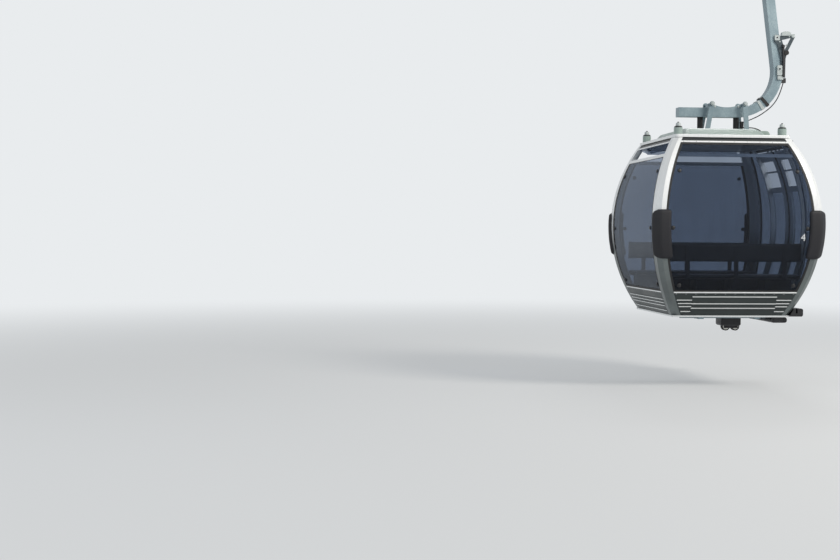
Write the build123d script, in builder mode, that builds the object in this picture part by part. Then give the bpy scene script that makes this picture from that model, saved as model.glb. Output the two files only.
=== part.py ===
from build123d import *
import os
from math import cos, pi, radians, sin, sqrt

os.makedirs("parts", exist_ok=True)

# Cabin of a detachable gondola lift, hung from its rope clamp by a bent hanger arm. Millimetres.
# The origin is the middle of the rope clamp. +Z is up, the rope runs along Y, and +X is the side
# of the doors and of the hanger arm. The cabin's long wall faces are the barrel-shaped end walls
# at -Y and +Y and the side walls at -X and +X.

# Rope and cabin: main heights and places
rope_diameter = 45
cabin_x = -100
rim_top_z = -1828
rim_bottom_z = -1862
bulge_z = -2852
bottom_z = -3890

# Barrel walls: half width at the bulge, then the radius of the wall above it and below it
side_half = 966
side_top_radius = 1860
side_bottom_radius = 2030
end_half = 1129
end_top_radius = 1810
end_bottom_radius = 1970
wall_thickness = 36
reach = 1500

# Corner posts: their legs at the bulge, and how much flatter their inner edges are than the walls
front_leg = 110
side_leg = 170
edge_flattening = 120
corner_cut = 52
post_top_z = -1868

# Roof rim and header
rim_half_x = 675
rim_half_y = 822
rim_corner_radius = 42
rim_width = 70
header_top_z = -1862
header_step_z = -1878
header_low_z = -1905
head_rail_low_z = -1924
header_gap_inset = 28
header_band_inset = 8
ceiling_thickness = 8

# Windows
glass_thickness = 6
glass_inset = 3
seal_width = 26
skirt_top_z = -3620
transom_high_z = -2052
transom_low_z = -2090
transom_inset = 12
vent_tilt = 68
vent_clearance = 12

# Skirts, sill and floor
floor_thickness = 40
sill_height = 20
sill_proud = 5
sill_depth = 40
rib_proud = 8
rib_height = 9
rib_end_gap = 12
raised_half = 490

# Door opening, door leaves and their rails
opening_half = 500
jamb_width = 34
door_width = 566
door_gap = 8
door_thickness = 30
door_top_z = -1965
door_bottom_z = -3790
leading_stile = 130
trailing_stile = 42
door_seal = 26
door_vent_high_z = -2072
door_vent_bar_z = -2198
door_vent_low_z = -2385
door_pane_high_z = -2450
door_pane_low_z = -3600
upper_rail_half = 612
upper_rail_outer_x = 676
upper_rail_low_z = -1950
upper_rail_high_z = -1872
lower_rail_half = 865
lower_rail_outer_x = 734
lower_rail_high_z = -3808
lower_rail_low_z = -3900
rail_slot = 20
rail_wall = 7

# Bumpers on the four corners
bumper_high_z = -2690
bumper_low_z = -3240
bumper_proud = 34
bumper_end_leg = 172
bumper_side_leg = 95
bumper_corner_radius = 110

# Benches
seat_top_z = -3420
seat_thickness = 50
seat_front_y = 560
seat_back_y = 975
seat_half_x = 780
back_high_z = -3050
back_low_z = -3290
back_thickness = 36
back_y = 982
kick_panel_y = 604
kick_panel_gap = 6

# Roof hood and what stands on the roof
hood_x = -150
hood_base_half_x = 500
hood_base_half_y = 700
hood_top_half_x = 430
hood_top_half_y = 560
hood_top_z = -1738
stop_x = 610
stop_y = 705
stop_radius = 50
stop_height = 80
pad_radius = 44
pad_height = 14
stop_cap_radius = 26
stop_cap_height = 40

# Hanger arm: a box section bent to the outside, in the plane Y = 0
arm_width = 110
arm_depth = 136
arm_bend_radius = 500
arm_top = (562, -70)
arm_corner = (752, -1510)
arm_end = (-525, -1510)
pivot_z = -30
eye_radius = 76
eye_low_x = 493
eye_high_x = 621
axle_radius = 30
axle_clearance = 0.05
beam_half = arm_width / 2
beam_low_z = arm_corner[1] - beam_half
beam_high_z = arm_corner[1] + beam_half
strap_half_width = 29
strap_thickness = 12
strap_y = 135
# Columns: X of the strap's upper end, X of its foot
strap_places = ((-141, -198), (259, 284))
strap_pin_z = -1412
strap_pin_radius = 15

# Grip: jaws, lever, wheels
jaw_length = 240
jaw_pivot = (85, 95)
coupling_place = (400, 190)
coupling_radius = 36
wheel_radius = 65
wheel_width = 40
wheel_y = 170
wheel_z = -35
wheel_low_x = 392
plate_top_z = 250
plate_thickness = 14
plate_half_y = 210


def save(piece, name):
    """Labels a finished piece and writes it."""
    piece.part.label = name
    export_step(piece.part, f"parts/{name}.step")


def half_at(half, top_radius, bottom_radius, z, inset):
    """Half width of a barrel wall at height z, for a surface moved in by inset."""
    radius = top_radius if z > bulge_z else bottom_radius
    return half - radius + sqrt((radius - inset) ** 2 - (z - bulge_z) ** 2)


def side_at(z, inset=0):
    """Half width across the cabin at height z."""
    return half_at(side_half, side_top_radius, side_bottom_radius, z, inset)


def end_at(z, inset=0):
    """Half length of the cabin at height z."""
    return half_at(end_half, end_top_radius, end_bottom_radius, z, inset)


def profile_bar(plane, centre, half_of, inset, low, high):
    """A barrel profile between two heights, drawn on plane and extruded through the cabin."""
    stops = [low, bulge_z, high] if low < bulge_z < high else [low, high]
    with BuildPart() as bar:
        with BuildSketch(plane):
            with BuildLine():
                for side in (-1, 1):
                    for start, stop in zip(stops, stops[1:]):
                        middle = (start + stop) / 2
                        ThreePointArc(
                            (centre + side * half_of(start, inset), start),
                            (centre + side * half_of(middle, inset), middle),
                            (centre + side * half_of(stop, inset), stop),
                        )
                for z in (low, high):
                    Line(
                        (centre - half_of(z, inset), z),
                        (centre + half_of(z, inset), z),
                    )
            make_face()
        extrude(amount=reach, both=True)
    return bar.part


def side_edge_at(z, inset=0):
    """Half width between the corner posts' inner edges, on the front and rear walls."""
    return half_at(
        side_half - front_leg, side_top_radius + edge_flattening,
        side_bottom_radius + edge_flattening, z, inset,
    )


def end_edge_at(z, inset=0):
    """Half length between the corner posts' inner edges, on the side walls."""
    return half_at(
        end_half - side_leg, end_top_radius + edge_flattening,
        end_bottom_radius + edge_flattening, z, inset,
    )


def corner_at(z, inset=0):
    """Distance of the cut corner from the cabin's middle, along the diagonal."""
    return (side_at(z, inset) + end_at(z, inset) - corner_cut) / sqrt(2)


def side_bar(inset, low, high):
    """The space between the two side walls."""
    return profile_bar(Plane.XZ, cabin_x, side_at, inset, low, high)


def end_bar(inset, low, high):
    """The space between the two end walls."""
    return profile_bar(Plane.YZ, 0, end_at, inset, low, high)


def side_edge_bar(inset, low, high):
    """The space between the posts on the front and rear walls."""
    return profile_bar(Plane.XZ, cabin_x, side_edge_at, inset, low, high)


def end_edge_bar(inset, low, high):
    """The space between the posts on the side walls."""
    return profile_bar(Plane.YZ, 0, end_edge_at, inset, low, high)


def diagonal_bar(inset, low, high):
    """The space between the two cut corners that lie on the diagonal toward +X and +Y."""
    diagonal = Plane(origin=(cabin_x, 0, 0), x_dir=(1, 1, 0), z_dir=(1, -1, 0))
    return profile_bar(diagonal, 0, corner_at, inset, low, high)


def barrel(inset, low, high):
    """The cabin's envelope moved in by inset, between two heights."""
    sides = side_bar(inset, low, high)
    ends = end_bar(inset, low, high)
    with BuildPart() as envelope:
        add(sides)
        add(ends, mode=Mode.INTERSECT)
    return envelope.part


def block(x_span, y_span, z_span):
    """A plain block between three pairs of limits."""
    spans = (x_span, y_span, z_span)
    centre = tuple((low + high) / 2 for low, high in spans)
    with BuildPart() as piece:
        with Locations(centre):
            Box(*(high - low for low, high in spans))
    return piece.part


def wall_piece(wall, outer, inner, edge_gap, low, high):
    """A piece of one wall between two depths, ending edge_gap short of the corner posts."""
    if wall in ("front", "rear"):
        skin, width = end_bar, side_edge_bar
    else:
        skin, width = side_bar, end_edge_bar
    margin = 1
    outer_bar = skin(outer, low, high)
    inner_bar = skin(inner, low - margin, high + margin)
    width_bar = width(edge_gap, low - margin, high + margin)
    spans = {
        "front": ((-reach, reach), (-reach, 0)),
        "rear": ((-reach, reach), (0, reach)),
        "left": ((-reach, cabin_x), (-reach, reach)),
        "right": ((cabin_x, reach), (-reach, reach)),
    }
    half_space = block(*spans[wall], (low - margin, high + margin))
    with BuildPart() as piece:
        add(outer_bar)
        add(inner_bar, mode=Mode.SUBTRACT)
        add(width_bar, mode=Mode.INTERSECT)
        add(half_space, mode=Mode.INTERSECT)
    return piece.part


def mirrored(part, side_x, side_y):
    """The same piece at another corner, mirrored over the cabin's middle planes."""
    if side_x < 0:
        part = part.mirror(Plane.YZ.offset(cabin_x))
    if side_y < 0:
        part = part.mirror(Plane.XZ)
    return part


# Corner posts: L-shaped sections between the side and end walls
corner_outer = barrel(0, bottom_z, post_top_z)
corner_inner = barrel(wall_thickness, bottom_z - 1, post_top_z + 1)
corner_side = side_edge_bar(0, bottom_z - 1, post_top_z + 1)
corner_end = end_edge_bar(0, bottom_z - 1, post_top_z + 1)
corner_cut_bar = diagonal_bar(0, bottom_z - 1, post_top_z + 1)
corner_space = block((cabin_x, reach), (0, reach), (bottom_z - 1, post_top_z + 1))
with BuildPart() as corner_post:
    add(corner_outer)
    for tool in (corner_space, corner_cut_bar):
        add(tool, mode=Mode.INTERSECT)
    for tool in (corner_inner, corner_side, corner_end):
        add(tool, mode=Mode.SUBTRACT)

# Columns: place of the corner, side of X, side of Y
corners = (
    ("front_left", -1, -1),
    ("front_right", 1, -1),
    ("rear_left", -1, 1),
    ("rear_right", 1, 1),
)
for corner_name, side_x, side_y in corners:
    post_solid = mirrored(corner_post.part, side_x, side_y)
    with BuildPart() as post:
        add(post_solid)
    save(post, f"post_{corner_name}")

# Bumpers: rounded caps over the posts at the bulge
bumper_outer = barrel(-bumper_proud, bumper_low_z, bumper_high_z)
bumper_corner = diagonal_bar(-bumper_proud, bumper_low_z - 1, bumper_high_z + 1)
post_space = barrel(0, bumper_low_z - 1, bumper_high_z + 1)
post_corner = diagonal_bar(0, bumper_low_z - 2, bumper_high_z + 2)
with BuildPart() as bumper_inner:
    add(post_space)
    add(post_corner, mode=Mode.INTERSECT)
bumper_side_cut = side_bar(bumper_end_leg, bumper_low_z - 1, bumper_high_z + 1)
bumper_end_cut = end_bar(bumper_side_leg, bumper_low_z - 1, bumper_high_z + 1)
bumper_outer_x = cabin_x + side_half + bumper_proud
bumper_inner_x = cabin_x + side_half - bumper_end_leg - 40
with BuildPart() as bumper_cap:
    with BuildSketch(Plane.XZ) as cap_outline:
        with Locations(((bumper_outer_x + bumper_inner_x) / 2, (bumper_high_z + bumper_low_z) / 2)):
            Rectangle(bumper_outer_x - bumper_inner_x, bumper_high_z - bumper_low_z)
        fillet(cap_outline.vertices().group_by(Axis.X)[-1], radius=bumper_corner_radius)
    extrude(amount=-reach)
    for tool in (bumper_outer, bumper_corner):
        add(tool, mode=Mode.INTERSECT)
    for tool in (bumper_inner.part, bumper_side_cut, bumper_end_cut):
        add(tool, mode=Mode.SUBTRACT)
cap_solids = [mirrored(bumper_cap.part, side_x, side_y) for name, side_x, side_y in corners]
with BuildPart() as bumpers:
    for solid in cap_solids:
        add(solid)
save(bumpers, "bumpers")

# Header: a dark stepped band and a bright rail below the roof, on all four walls
walls = ("front", "rear", "left", "right")
band_solids = []
rail_solids = []
for wall in walls:
    band_solids.append(
        wall_piece(wall, header_gap_inset, wall_thickness, 0, header_step_z, header_top_z)
    )
    band_solids.append(
        wall_piece(wall, header_band_inset, wall_thickness, 0, header_low_z, header_step_z)
    )
    rail_solids.append(wall_piece(wall, 0, wall_thickness, 0, head_rail_low_z, header_low_z))
with BuildPart() as header_band:
    for solid in band_solids:
        add(solid)
save(header_band, "header_band")
with BuildPart() as head_rail:
    for solid in rail_solids:
        add(solid)
save(head_rail, "head_rail")

# Roof: rim, pan, hood and ceiling
with BuildPart() as roof_rim:
    with BuildSketch(Plane.XY.offset(rim_bottom_z)):
        with Locations((cabin_x, 0)):
            RectangleRounded(2 * rim_half_x, 2 * rim_half_y, rim_corner_radius)
            Rectangle(
                2 * (rim_half_x - rim_width), 2 * (rim_half_y - rim_width), mode=Mode.SUBTRACT
            )
    extrude(amount=rim_top_z - rim_bottom_z)
    rim_edges = roof_rim.faces().sort_by(Axis.Z)[-1].outer_wire().edges()
    fillet(rim_edges, radius=10)
save(roof_rim, "roof_rim")

with BuildPart() as roof_pan:
    with BuildSketch(Plane.XY.offset(rim_bottom_z)):
        with Locations((cabin_x, 0)):
            Rectangle(2 * (rim_half_x - rim_width), 2 * (rim_half_y - rim_width))
    extrude(amount=rim_top_z - rim_bottom_z - 6)
save(roof_pan, "roof_pan")

pan_top_z = rim_top_z - 6
with BuildPart() as roof_hood:
    for z, half_x, half_y in (
        (pan_top_z, hood_base_half_x, hood_base_half_y),
        (hood_top_z, hood_top_half_x, hood_top_half_y),
    ):
        with BuildSketch(Plane.XY.offset(z)):
            with Locations((hood_x, 0)):
                RectangleRounded(2 * half_x, 2 * half_y, 40)
    loft()
save(roof_hood, "roof_hood")

ceiling_solid = barrel(wall_thickness, head_rail_low_z, head_rail_low_z + ceiling_thickness)
with BuildPart() as ceiling:
    add(ceiling_solid)
save(ceiling, "ceiling")

# Roof stops: four short posts that hold the cabin off its neighbours in the store
stop_places = [(cabin_x + sx * stop_x, sy * stop_y) for sx in (-1, 1) for sy in (-1, 1)]
with BuildPart() as roof_stops:
    with BuildSketch(Plane.XY.offset(rim_top_z)):
        with Locations(*stop_places):
            Circle(stop_radius)
    extrude(amount=stop_height)
save(roof_stops, "roof_stops")
with BuildPart() as stop_pads:
    with BuildSketch(Plane.XY.offset(rim_top_z + stop_height)):
        with Locations(*stop_places):
            Circle(pad_radius)
    extrude(amount=pad_height)
    with BuildSketch(Plane.XY.offset(rim_top_z + stop_height + pad_height)):
        with Locations(*stop_places):
            Circle(stop_cap_radius)
    extrude(amount=stop_cap_height)
    fillet(stop_pads.edges().group_by(Axis.Z)[-1], radius=12)
save(stop_pads, "stop_pads")

# Windows: the front pane reaches from the skirt to the head rail, and the rear and left ones end
# under a transom, below an open vent
for wall, pane_high_z in (
    ("front", head_rail_low_z - seal_width), ("rear", transom_low_z - 2), ("left", transom_low_z - 2),
):
    pane_solid = wall_piece(
        wall, glass_inset, glass_inset + glass_thickness, seal_width,
        skirt_top_z + seal_width, pane_high_z,
    )
    with BuildPart() as pane:
        add(pane_solid)
    save(pane, f"window_{wall}")

# Vents over the left and rear panes: hung from their top edges and swung in
vent_high_z = head_rail_low_z - 6
vent_low_z = transom_high_z + 4
vent_hinge_inset = glass_inset + glass_thickness + 2
vent_height = (vent_high_z - vent_low_z) * 1.05
vent_half_y = end_edge_at(vent_high_z, seal_width) - vent_clearance
vent_half_x = side_edge_at(vent_high_z, seal_width) - vent_clearance
with BuildPart() as vent_left:
    with BuildSketch(Plane.XZ):
        with Locations(
            Location((cabin_x - side_at(vent_high_z) + vent_hinge_inset, vent_high_z), vent_tilt)
        ):
            with Locations((glass_thickness / 2, -vent_height / 2)):
                Rectangle(glass_thickness, vent_height)
    extrude(amount=vent_half_y, both=True)
save(vent_left, "vent_left")
with BuildPart() as vent_rear:
    with BuildSketch(Plane.YZ.offset(cabin_x)):
        with Locations(Location((end_at(vent_high_z) - vent_hinge_inset, vent_high_z), -vent_tilt)):
            with Locations((-glass_thickness / 2, -vent_height / 2)):
                Rectangle(glass_thickness, vent_height)
    extrude(amount=vent_half_x, both=True)
save(vent_rear, "vent_rear")

# Transoms: behind the front pane, and in the plane of the wall under the two vents
transom_solids = [
    wall_piece(wall, outer, wall_thickness, 0, transom_low_z, transom_high_z)
    for wall, outer in (("front", transom_inset), ("rear", 0), ("left", 0))
]
with BuildPart() as transoms:
    for solid in transom_solids:
        add(solid)
save(transoms, "transoms")

# Right wall beside the doors: jambs, side lights and the door frame's head
jamb_outer = opening_half + jamb_width
right_shell = wall_piece("right", 0, wall_thickness, 0, bottom_z, head_rail_low_z)
with BuildPart() as door_jambs:
    add(right_shell)
    with Locations((cabin_x + side_half, 0, (bottom_z + head_rail_low_z) / 2)):
        Box(reach, 2 * jamb_outer, head_rail_low_z - bottom_z, mode=Mode.INTERSECT)
        Box(reach, 2 * opening_half, reach * 2, mode=Mode.SUBTRACT)
    add(block((0, reach), (-reach, reach), (bottom_z - 1, skirt_top_z)), mode=Mode.SUBTRACT)
save(door_jambs, "door_jambs")

side_light_pane = wall_piece(
    "right", glass_inset, glass_inset + glass_thickness, seal_width,
    skirt_top_z + seal_width, head_rail_low_z - seal_width,
)
with BuildPart() as side_lights:
    add(side_light_pane)
    with Locations((cabin_x + side_half, 0, bulge_z)):
        Box(reach, 2 * (jamb_outer + seal_width), 2 * reach, mode=Mode.SUBTRACT)
save(side_lights, "side_lights")

# Rubber seals around the panes
seal_solids = []
for wall, seal_high_z in (
    ("front", head_rail_low_z), ("rear", transom_low_z),
    ("left", transom_low_z), ("right", head_rail_low_z),
):
    ring = wall_piece(wall, 1, glass_inset + glass_thickness + 3, 0, skirt_top_z, seal_high_z)
    hole_high_z = seal_high_z - (2 if wall in ("left", "rear") else seal_width)
    hole = wall_piece(wall, -5, wall_thickness, seal_width, skirt_top_z + seal_width, hole_high_z)
    with BuildPart() as seal:
        add(ring)
        add(hole, mode=Mode.SUBTRACT)
        if wall == "right":
            add(block((0, reach), (-jamb_outer, jamb_outer), (-4000, -1000)), mode=Mode.SUBTRACT)
    seal_solids.append(seal.part)
with BuildPart() as window_seals:
    for solid in seal_solids:
        add(solid)
save(window_seals, "window_seals")

# Skirts: ribbed panels under the windows. The right one is plain, because the doors pass over it.
# Heights of the ribs' middles above the cabin's bottom edge
raised_ribs = (217, 137, 85)
side_ribs = (179, 140, 104, 47)
raised_strip = block((cabin_x - raised_half, cabin_x + raised_half), (-reach, reach), (-4000, -3500))


def ribs(wall, heights):
    """Ribs along a wall's skirt, one at each height above the bottom edge."""
    return [
        wall_piece(
            wall, -rib_proud, 1, rib_end_gap,
            bottom_z + height - rib_height / 2, bottom_z + height + rib_height / 2,
        )
        for height in heights
    ]


skirt_parts = []
for wall in walls:
    skirt_solid = wall_piece(wall, 0, wall_thickness, 0, bottom_z, skirt_top_z)
    end_wall = wall in ("front", "rear")
    middle_solids = []
    outer_solids = ribs(wall, side_ribs) if wall != "right" else []
    if end_wall:
        middle_solids = ribs(wall, raised_ribs)
        middle_solids.append(wall_piece(wall, -3, 1, 0, bottom_z + 22, skirt_top_z - 26))
    with BuildPart() as middle_ribs:
        for solid in middle_solids:
            add(solid)
        if end_wall:
            add(raised_strip, mode=Mode.INTERSECT)
    with BuildPart() as outer_ribs:
        for solid in outer_solids:
            add(solid)
        if end_wall:
            add(raised_strip, mode=Mode.SUBTRACT)
    doorway = block((0, reach), (-opening_half, opening_half), (bottom_z + floor_thickness, -3000))
    with BuildPart() as skirt:
        add(skirt_solid)
        if middle_solids:
            add(middle_ribs.part)
        if outer_solids:
            add(outer_ribs.part)
        if wall == "right":
            add(doorway, mode=Mode.SUBTRACT)
    skirt_parts.append(skirt.part)
with BuildPart() as skirts:
    for solid in skirt_parts:
        add(solid)
save(skirts, "skirts")

# Sill: a bright rail around the bottom edge
sill_outer = barrel(-sill_proud, bottom_z - sill_height, bottom_z)
sill_inner = barrel(sill_depth, bottom_z - sill_height - 1, bottom_z + 1)
with BuildPart() as sill:
    add(sill_outer)
    add(sill_inner, mode=Mode.SUBTRACT)
save(sill, "sill")

floor_solid = barrel(wall_thickness, bottom_z, bottom_z + floor_thickness)
with BuildPart() as floor_pan:
    add(floor_solid)
save(floor_pan, "floor_pan")

# Underframe: two long members and three cross members below the floor
member_width = 60
member_height = 45
member_y_half = 768
member_x_half = 520
with BuildPart() as underframe:
    with BuildSketch(Plane.XY.offset(bottom_z - member_height)):
        with Locations(*[(cabin_x + x, 0) for x in (-330, 330)]):
            Rectangle(member_width, 2 * member_y_half)
        with Locations(*[(cabin_x, y) for y in (-560, 0, 560)]):
            Rectangle(2 * member_x_half, member_width)
    extrude(amount=member_height)
save(underframe, "underframe")

# Guide block and its two rollers, which run between the rails of a station
guide_x = 135
guide_half_x = 122
guide_half_y = 120
guide_low_z = -4056
roller_places = (98, 214)
roller_radius = 50
roller_z = -4069
roller_width = 54
roller_gap = 4
pin_radius = 9
frame_low_z = bottom_z - member_height
with BuildPart() as guide_rollers:
    with Locations(*[(x, 0, roller_z) for x in roller_places]):
        Cylinder(roller_radius, roller_width, rotation=(90, 0, 0))
        Cylinder(pin_radius, roller_width + 60, rotation=(90, 0, 0))
save(guide_rollers, "guide_rollers")
with BuildPart() as guide_block:
    with BuildSketch(Plane.XY.offset(guide_low_z)):
        with Locations((guide_x, 0)):
            RectangleRounded(2 * guide_half_x, 2 * guide_half_y, 24)
    extrude(amount=frame_low_z - guide_low_z)
    chamfer(guide_block.faces().sort_by(Axis.Z)[0].edges(), length=14)
    for side in (-1, 1):
        with Locations((guide_x + 21, side * (roller_width / 2 + roller_gap + 11), guide_low_z - 2)):
            Box(164, 22, 60)
    slot_height = roller_z + roller_radius + roller_gap - guide_low_z + 40
    for x in roller_places:
        with Locations((x, 0, roller_z + roller_radius + roller_gap - slot_height / 2)):
            Box(
                2 * (roller_radius + roller_gap), roller_width + 2 * roller_gap, slot_height,
                mode=Mode.SUBTRACT,
            )
    add(guide_rollers.part, mode=Mode.SUBTRACT)
save(guide_block, "guide_block")

# Casing of the door's closing gear, under the floor's right edge
casing_low_z = -3976
casing_high_z = -3912
casing_span_x = (388, 572)
casing_half_y = 790
with BuildPart() as door_casing:
    with BuildSketch(Plane.XZ):
        with Locations((sum(casing_span_x) / 2, (casing_low_z + casing_high_z) / 2)):
            RectangleRounded(casing_span_x[1] - casing_span_x[0], casing_high_z - casing_low_z, 28)
    extrude(amount=casing_half_y, both=True)
    add(underframe.part, mode=Mode.SUBTRACT)
save(door_casing, "door_casing")


def leaf_shell(outer, inner, y_span, z_span):
    """A piece of the door leaf, which lies outside the right wall and follows its curve."""
    low, high = z_span
    outer_bar = side_bar(-outer, low, high)
    inner_bar = side_bar(-inner, low - 1, high + 1)
    space = block((0, reach), y_span, (low - 1, high + 1))
    with BuildPart() as piece:
        add(outer_bar)
        add(inner_bar, mode=Mode.SUBTRACT)
        add(space, mode=Mode.INTERSECT)
    return piece.part


# Door leaves: frame with openings, pane, dropped vent pane and leading seal
leaf_outer = door_gap + door_thickness
vent_span_y = (leading_stile, door_width - trailing_stile)
carrier_places = (70, 200)
carrier_length = 60
carrier_thickness = 8
shoe_places = (70, 460)
shoe_depth = 45
door_top_x = cabin_x + side_at(door_top_z) + door_gap + door_thickness / 2
door_foot_x = cabin_x + side_at(door_bottom_z) + door_gap + door_thickness / 2
pane_middle = door_gap + door_thickness / 2
frame_solid = leaf_shell(
    leaf_outer, door_gap, (door_seal, door_width), (door_bottom_z, door_top_z)
)
upper_vent = leaf_shell(100, -100, vent_span_y, (door_vent_bar_z + 9, door_vent_high_z))
lower_vent = leaf_shell(100, -100, vent_span_y, (door_vent_low_z, door_vent_bar_z - 9))
pane_hole = leaf_shell(100, -100, vent_span_y, (door_pane_low_z, door_pane_high_z))
kick_recess = leaf_shell(
    100, leaf_outer - 8, (leading_stile, door_width - trailing_stile), (door_bottom_z + 40, door_pane_low_z - 40)
)
with BuildPart() as leaf_frame:
    add(frame_solid)
    for tool in (upper_vent, lower_vent, pane_hole, kick_recess):
        add(tool, mode=Mode.SUBTRACT)
    with Locations(*[(door_top_x, y, door_top_z + 20) for y in carrier_places]):
        Box(carrier_thickness, carrier_length, 44)
    with Locations(*[(door_foot_x, y, door_bottom_z - shoe_depth / 2 + 4) for y in shoe_places]):
        Box(carrier_thickness, carrier_length, shoe_depth + 8)
pane_solid = leaf_shell(
    pane_middle + 3, pane_middle - 3, vent_span_y, (door_pane_low_z, door_pane_high_z)
)
seal_solid = leaf_shell(leaf_outer, door_gap, (3, door_seal), (door_bottom_z, door_top_z))
for end_name, side_y in (("front", -1), ("rear", 1)):
    for part_name, part in (
        ("frame", leaf_frame.part), ("glass", pane_solid), ("seal", seal_solid)
    ):
        leaf_solid = mirrored(part, 1, side_y)
        with BuildPart() as leaf_piece:
            add(leaf_solid)
        save(leaf_piece, f"door_{end_name}_{part_name}")

# Door rails: an upper channel under the roof rim and a lower channel beside the sill
upper_wall = side_bar(0, upper_rail_low_z, upper_rail_high_z)
with BuildPart() as door_rail_upper:
    add(
        block(
            (cabin_x + side_at(upper_rail_high_z) - 30, upper_rail_outer_x),
            (-upper_rail_half, upper_rail_half),
            (upper_rail_low_z, upper_rail_high_z),
        )
    )
    add(upper_wall, mode=Mode.SUBTRACT)
    add(
        block(
            (door_top_x - rail_slot / 2, door_top_x + rail_slot / 2), (-reach, reach),
            (upper_rail_low_z - 1, upper_rail_high_z - rail_wall),
        ),
        mode=Mode.SUBTRACT,
    )
save(door_rail_upper, "door_rail_upper")

lower_wall = side_bar(0, lower_rail_low_z, lower_rail_high_z)
with BuildPart() as door_rail_lower:
    with BuildSketch(Plane.XZ):
        with Locations((0, 0)):
            with BuildLine():
                Polyline(
                    (cabin_x + side_at(lower_rail_low_z) - 30, lower_rail_low_z),
                    (lower_rail_outer_x, lower_rail_low_z),
                    (lower_rail_outer_x, lower_rail_high_z),
                    (cabin_x + side_at(lower_rail_low_z) - 30, lower_rail_high_z),
                    close=True,
                )
            make_face()
    extrude(amount=lower_rail_half, both=True)
    fillet(door_rail_lower.edges().filter_by(Axis.Y).group_by(Axis.X)[-1], radius=22)
    for tool in (lower_wall, sill.part):
        add(tool, mode=Mode.SUBTRACT)
    add(
        block(
            (door_foot_x - rail_slot / 2, door_foot_x + rail_slot / 2), (-reach, reach),
            (lower_rail_high_z - 55, lower_rail_high_z + 1),
        ),
        mode=Mode.SUBTRACT,
    )
save(door_rail_lower, "door_rail_lower")

# Benches along the front and rear walls: seat cushions, back cushions and frames
seat_low_z = seat_top_z - seat_thickness
floor_top_z = bottom_z + floor_thickness
frame_plate = 8
riser_height = seat_low_z - frame_plate - floor_top_z
riser_places = (-400, 0, 400)
upright_places = (-560, 0, 560)
upright_thickness = 10
seat_middle_y = (seat_front_y + seat_back_y) / 2
with BuildPart() as seats:
    with BuildSketch(Plane.XY.offset(seat_low_z)):
        with Locations(*[(cabin_x, side * seat_middle_y) for side in (-1, 1)]):
            RectangleRounded(2 * seat_half_x, seat_back_y - seat_front_y, 30)
    extrude(amount=seat_thickness)
save(seats, "seats")

with BuildPart() as seat_backs:
    with BuildSketch(Plane.XZ.offset(-back_y)):
        with Locations((cabin_x, (back_high_z + back_low_z) / 2)):
            RectangleRounded(2 * seat_half_x, back_high_z - back_low_z, 24)
    extrude(amount=back_thickness)
    mirror(about=Plane.XZ)
save(seat_backs, "seat_backs")

with BuildPart() as bench_frames:
    for side in (-1, 1):
        with Locations((cabin_x, side * seat_middle_y, seat_low_z - frame_plate / 2)):
            Box(2 * seat_half_x - 20, seat_back_y - seat_front_y - 20, frame_plate)
        with Locations(
            *[(cabin_x + x, side * 740, floor_top_z + riser_height / 2) for x in riser_places]
        ):
            Box(40, 240, riser_height)
        upright_y = side * (back_y + upright_thickness / 2)
        upright_z = (seat_low_z + back_high_z) / 2 - 30
        with Locations(*[(cabin_x + x, upright_y, upright_z) for x in upright_places]):
            Box(50, upright_thickness, back_high_z - seat_low_z - 60)
        with Locations(
            *[(cabin_x + x, side * (back_y - 14), seat_low_z - frame_plate / 2) for x in upright_places]
        ):
            Box(50, 48, frame_plate)
    for side in (-1, 1):
        with Locations(
            (cabin_x, side * kick_panel_y, (floor_top_z + seat_low_z - frame_plate) / 2)
        ):
            Box(2 * seat_half_x, frame_plate, riser_height)
    panel_space = barrel(wall_thickness + kick_panel_gap, floor_top_z - 1, back_high_z)
    add(panel_space, mode=Mode.INTERSECT)
save(bench_frames, "bench_frames")

# Hanger arm: box section along one line with one large bend
arm_outline_half = arm_depth / 2
with BuildPart() as hanger_arm:
    with BuildSketch(Plane.XZ):
        with BuildLine():
            FilletPolyline(arm_top, arm_corner, arm_end, radius=arm_bend_radius)
        trace(line_width=arm_width)
    extrude(amount=arm_outline_half, both=True)
    with Locations(Location(((eye_low_x + eye_high_x) / 2, 0, pivot_z), (0, 90, 0))):
        Cylinder(eye_radius, eye_high_x - eye_low_x)
        Cylinder(axle_radius + axle_clearance, eye_high_x - eye_low_x, mode=Mode.SUBTRACT)
save(hanger_arm, "hanger_arm")

# Collar around the bend, where the stay of the cable is clamped
collar_angle = 47
collar_centre = (182, -1010)
collar_x = collar_centre[0] + arm_bend_radius * cos(radians(collar_angle))
collar_z = collar_centre[1] - arm_bend_radius * sin(radians(collar_angle))
with BuildPart() as arm_collar:
    with Locations(Location((collar_x, 0, collar_z), (0, collar_angle, 0))):
        Box(arm_width + 20, arm_depth + 20, 34)
    add(hanger_arm.part, mode=Mode.SUBTRACT)
save(arm_collar, "arm_collar")

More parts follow.
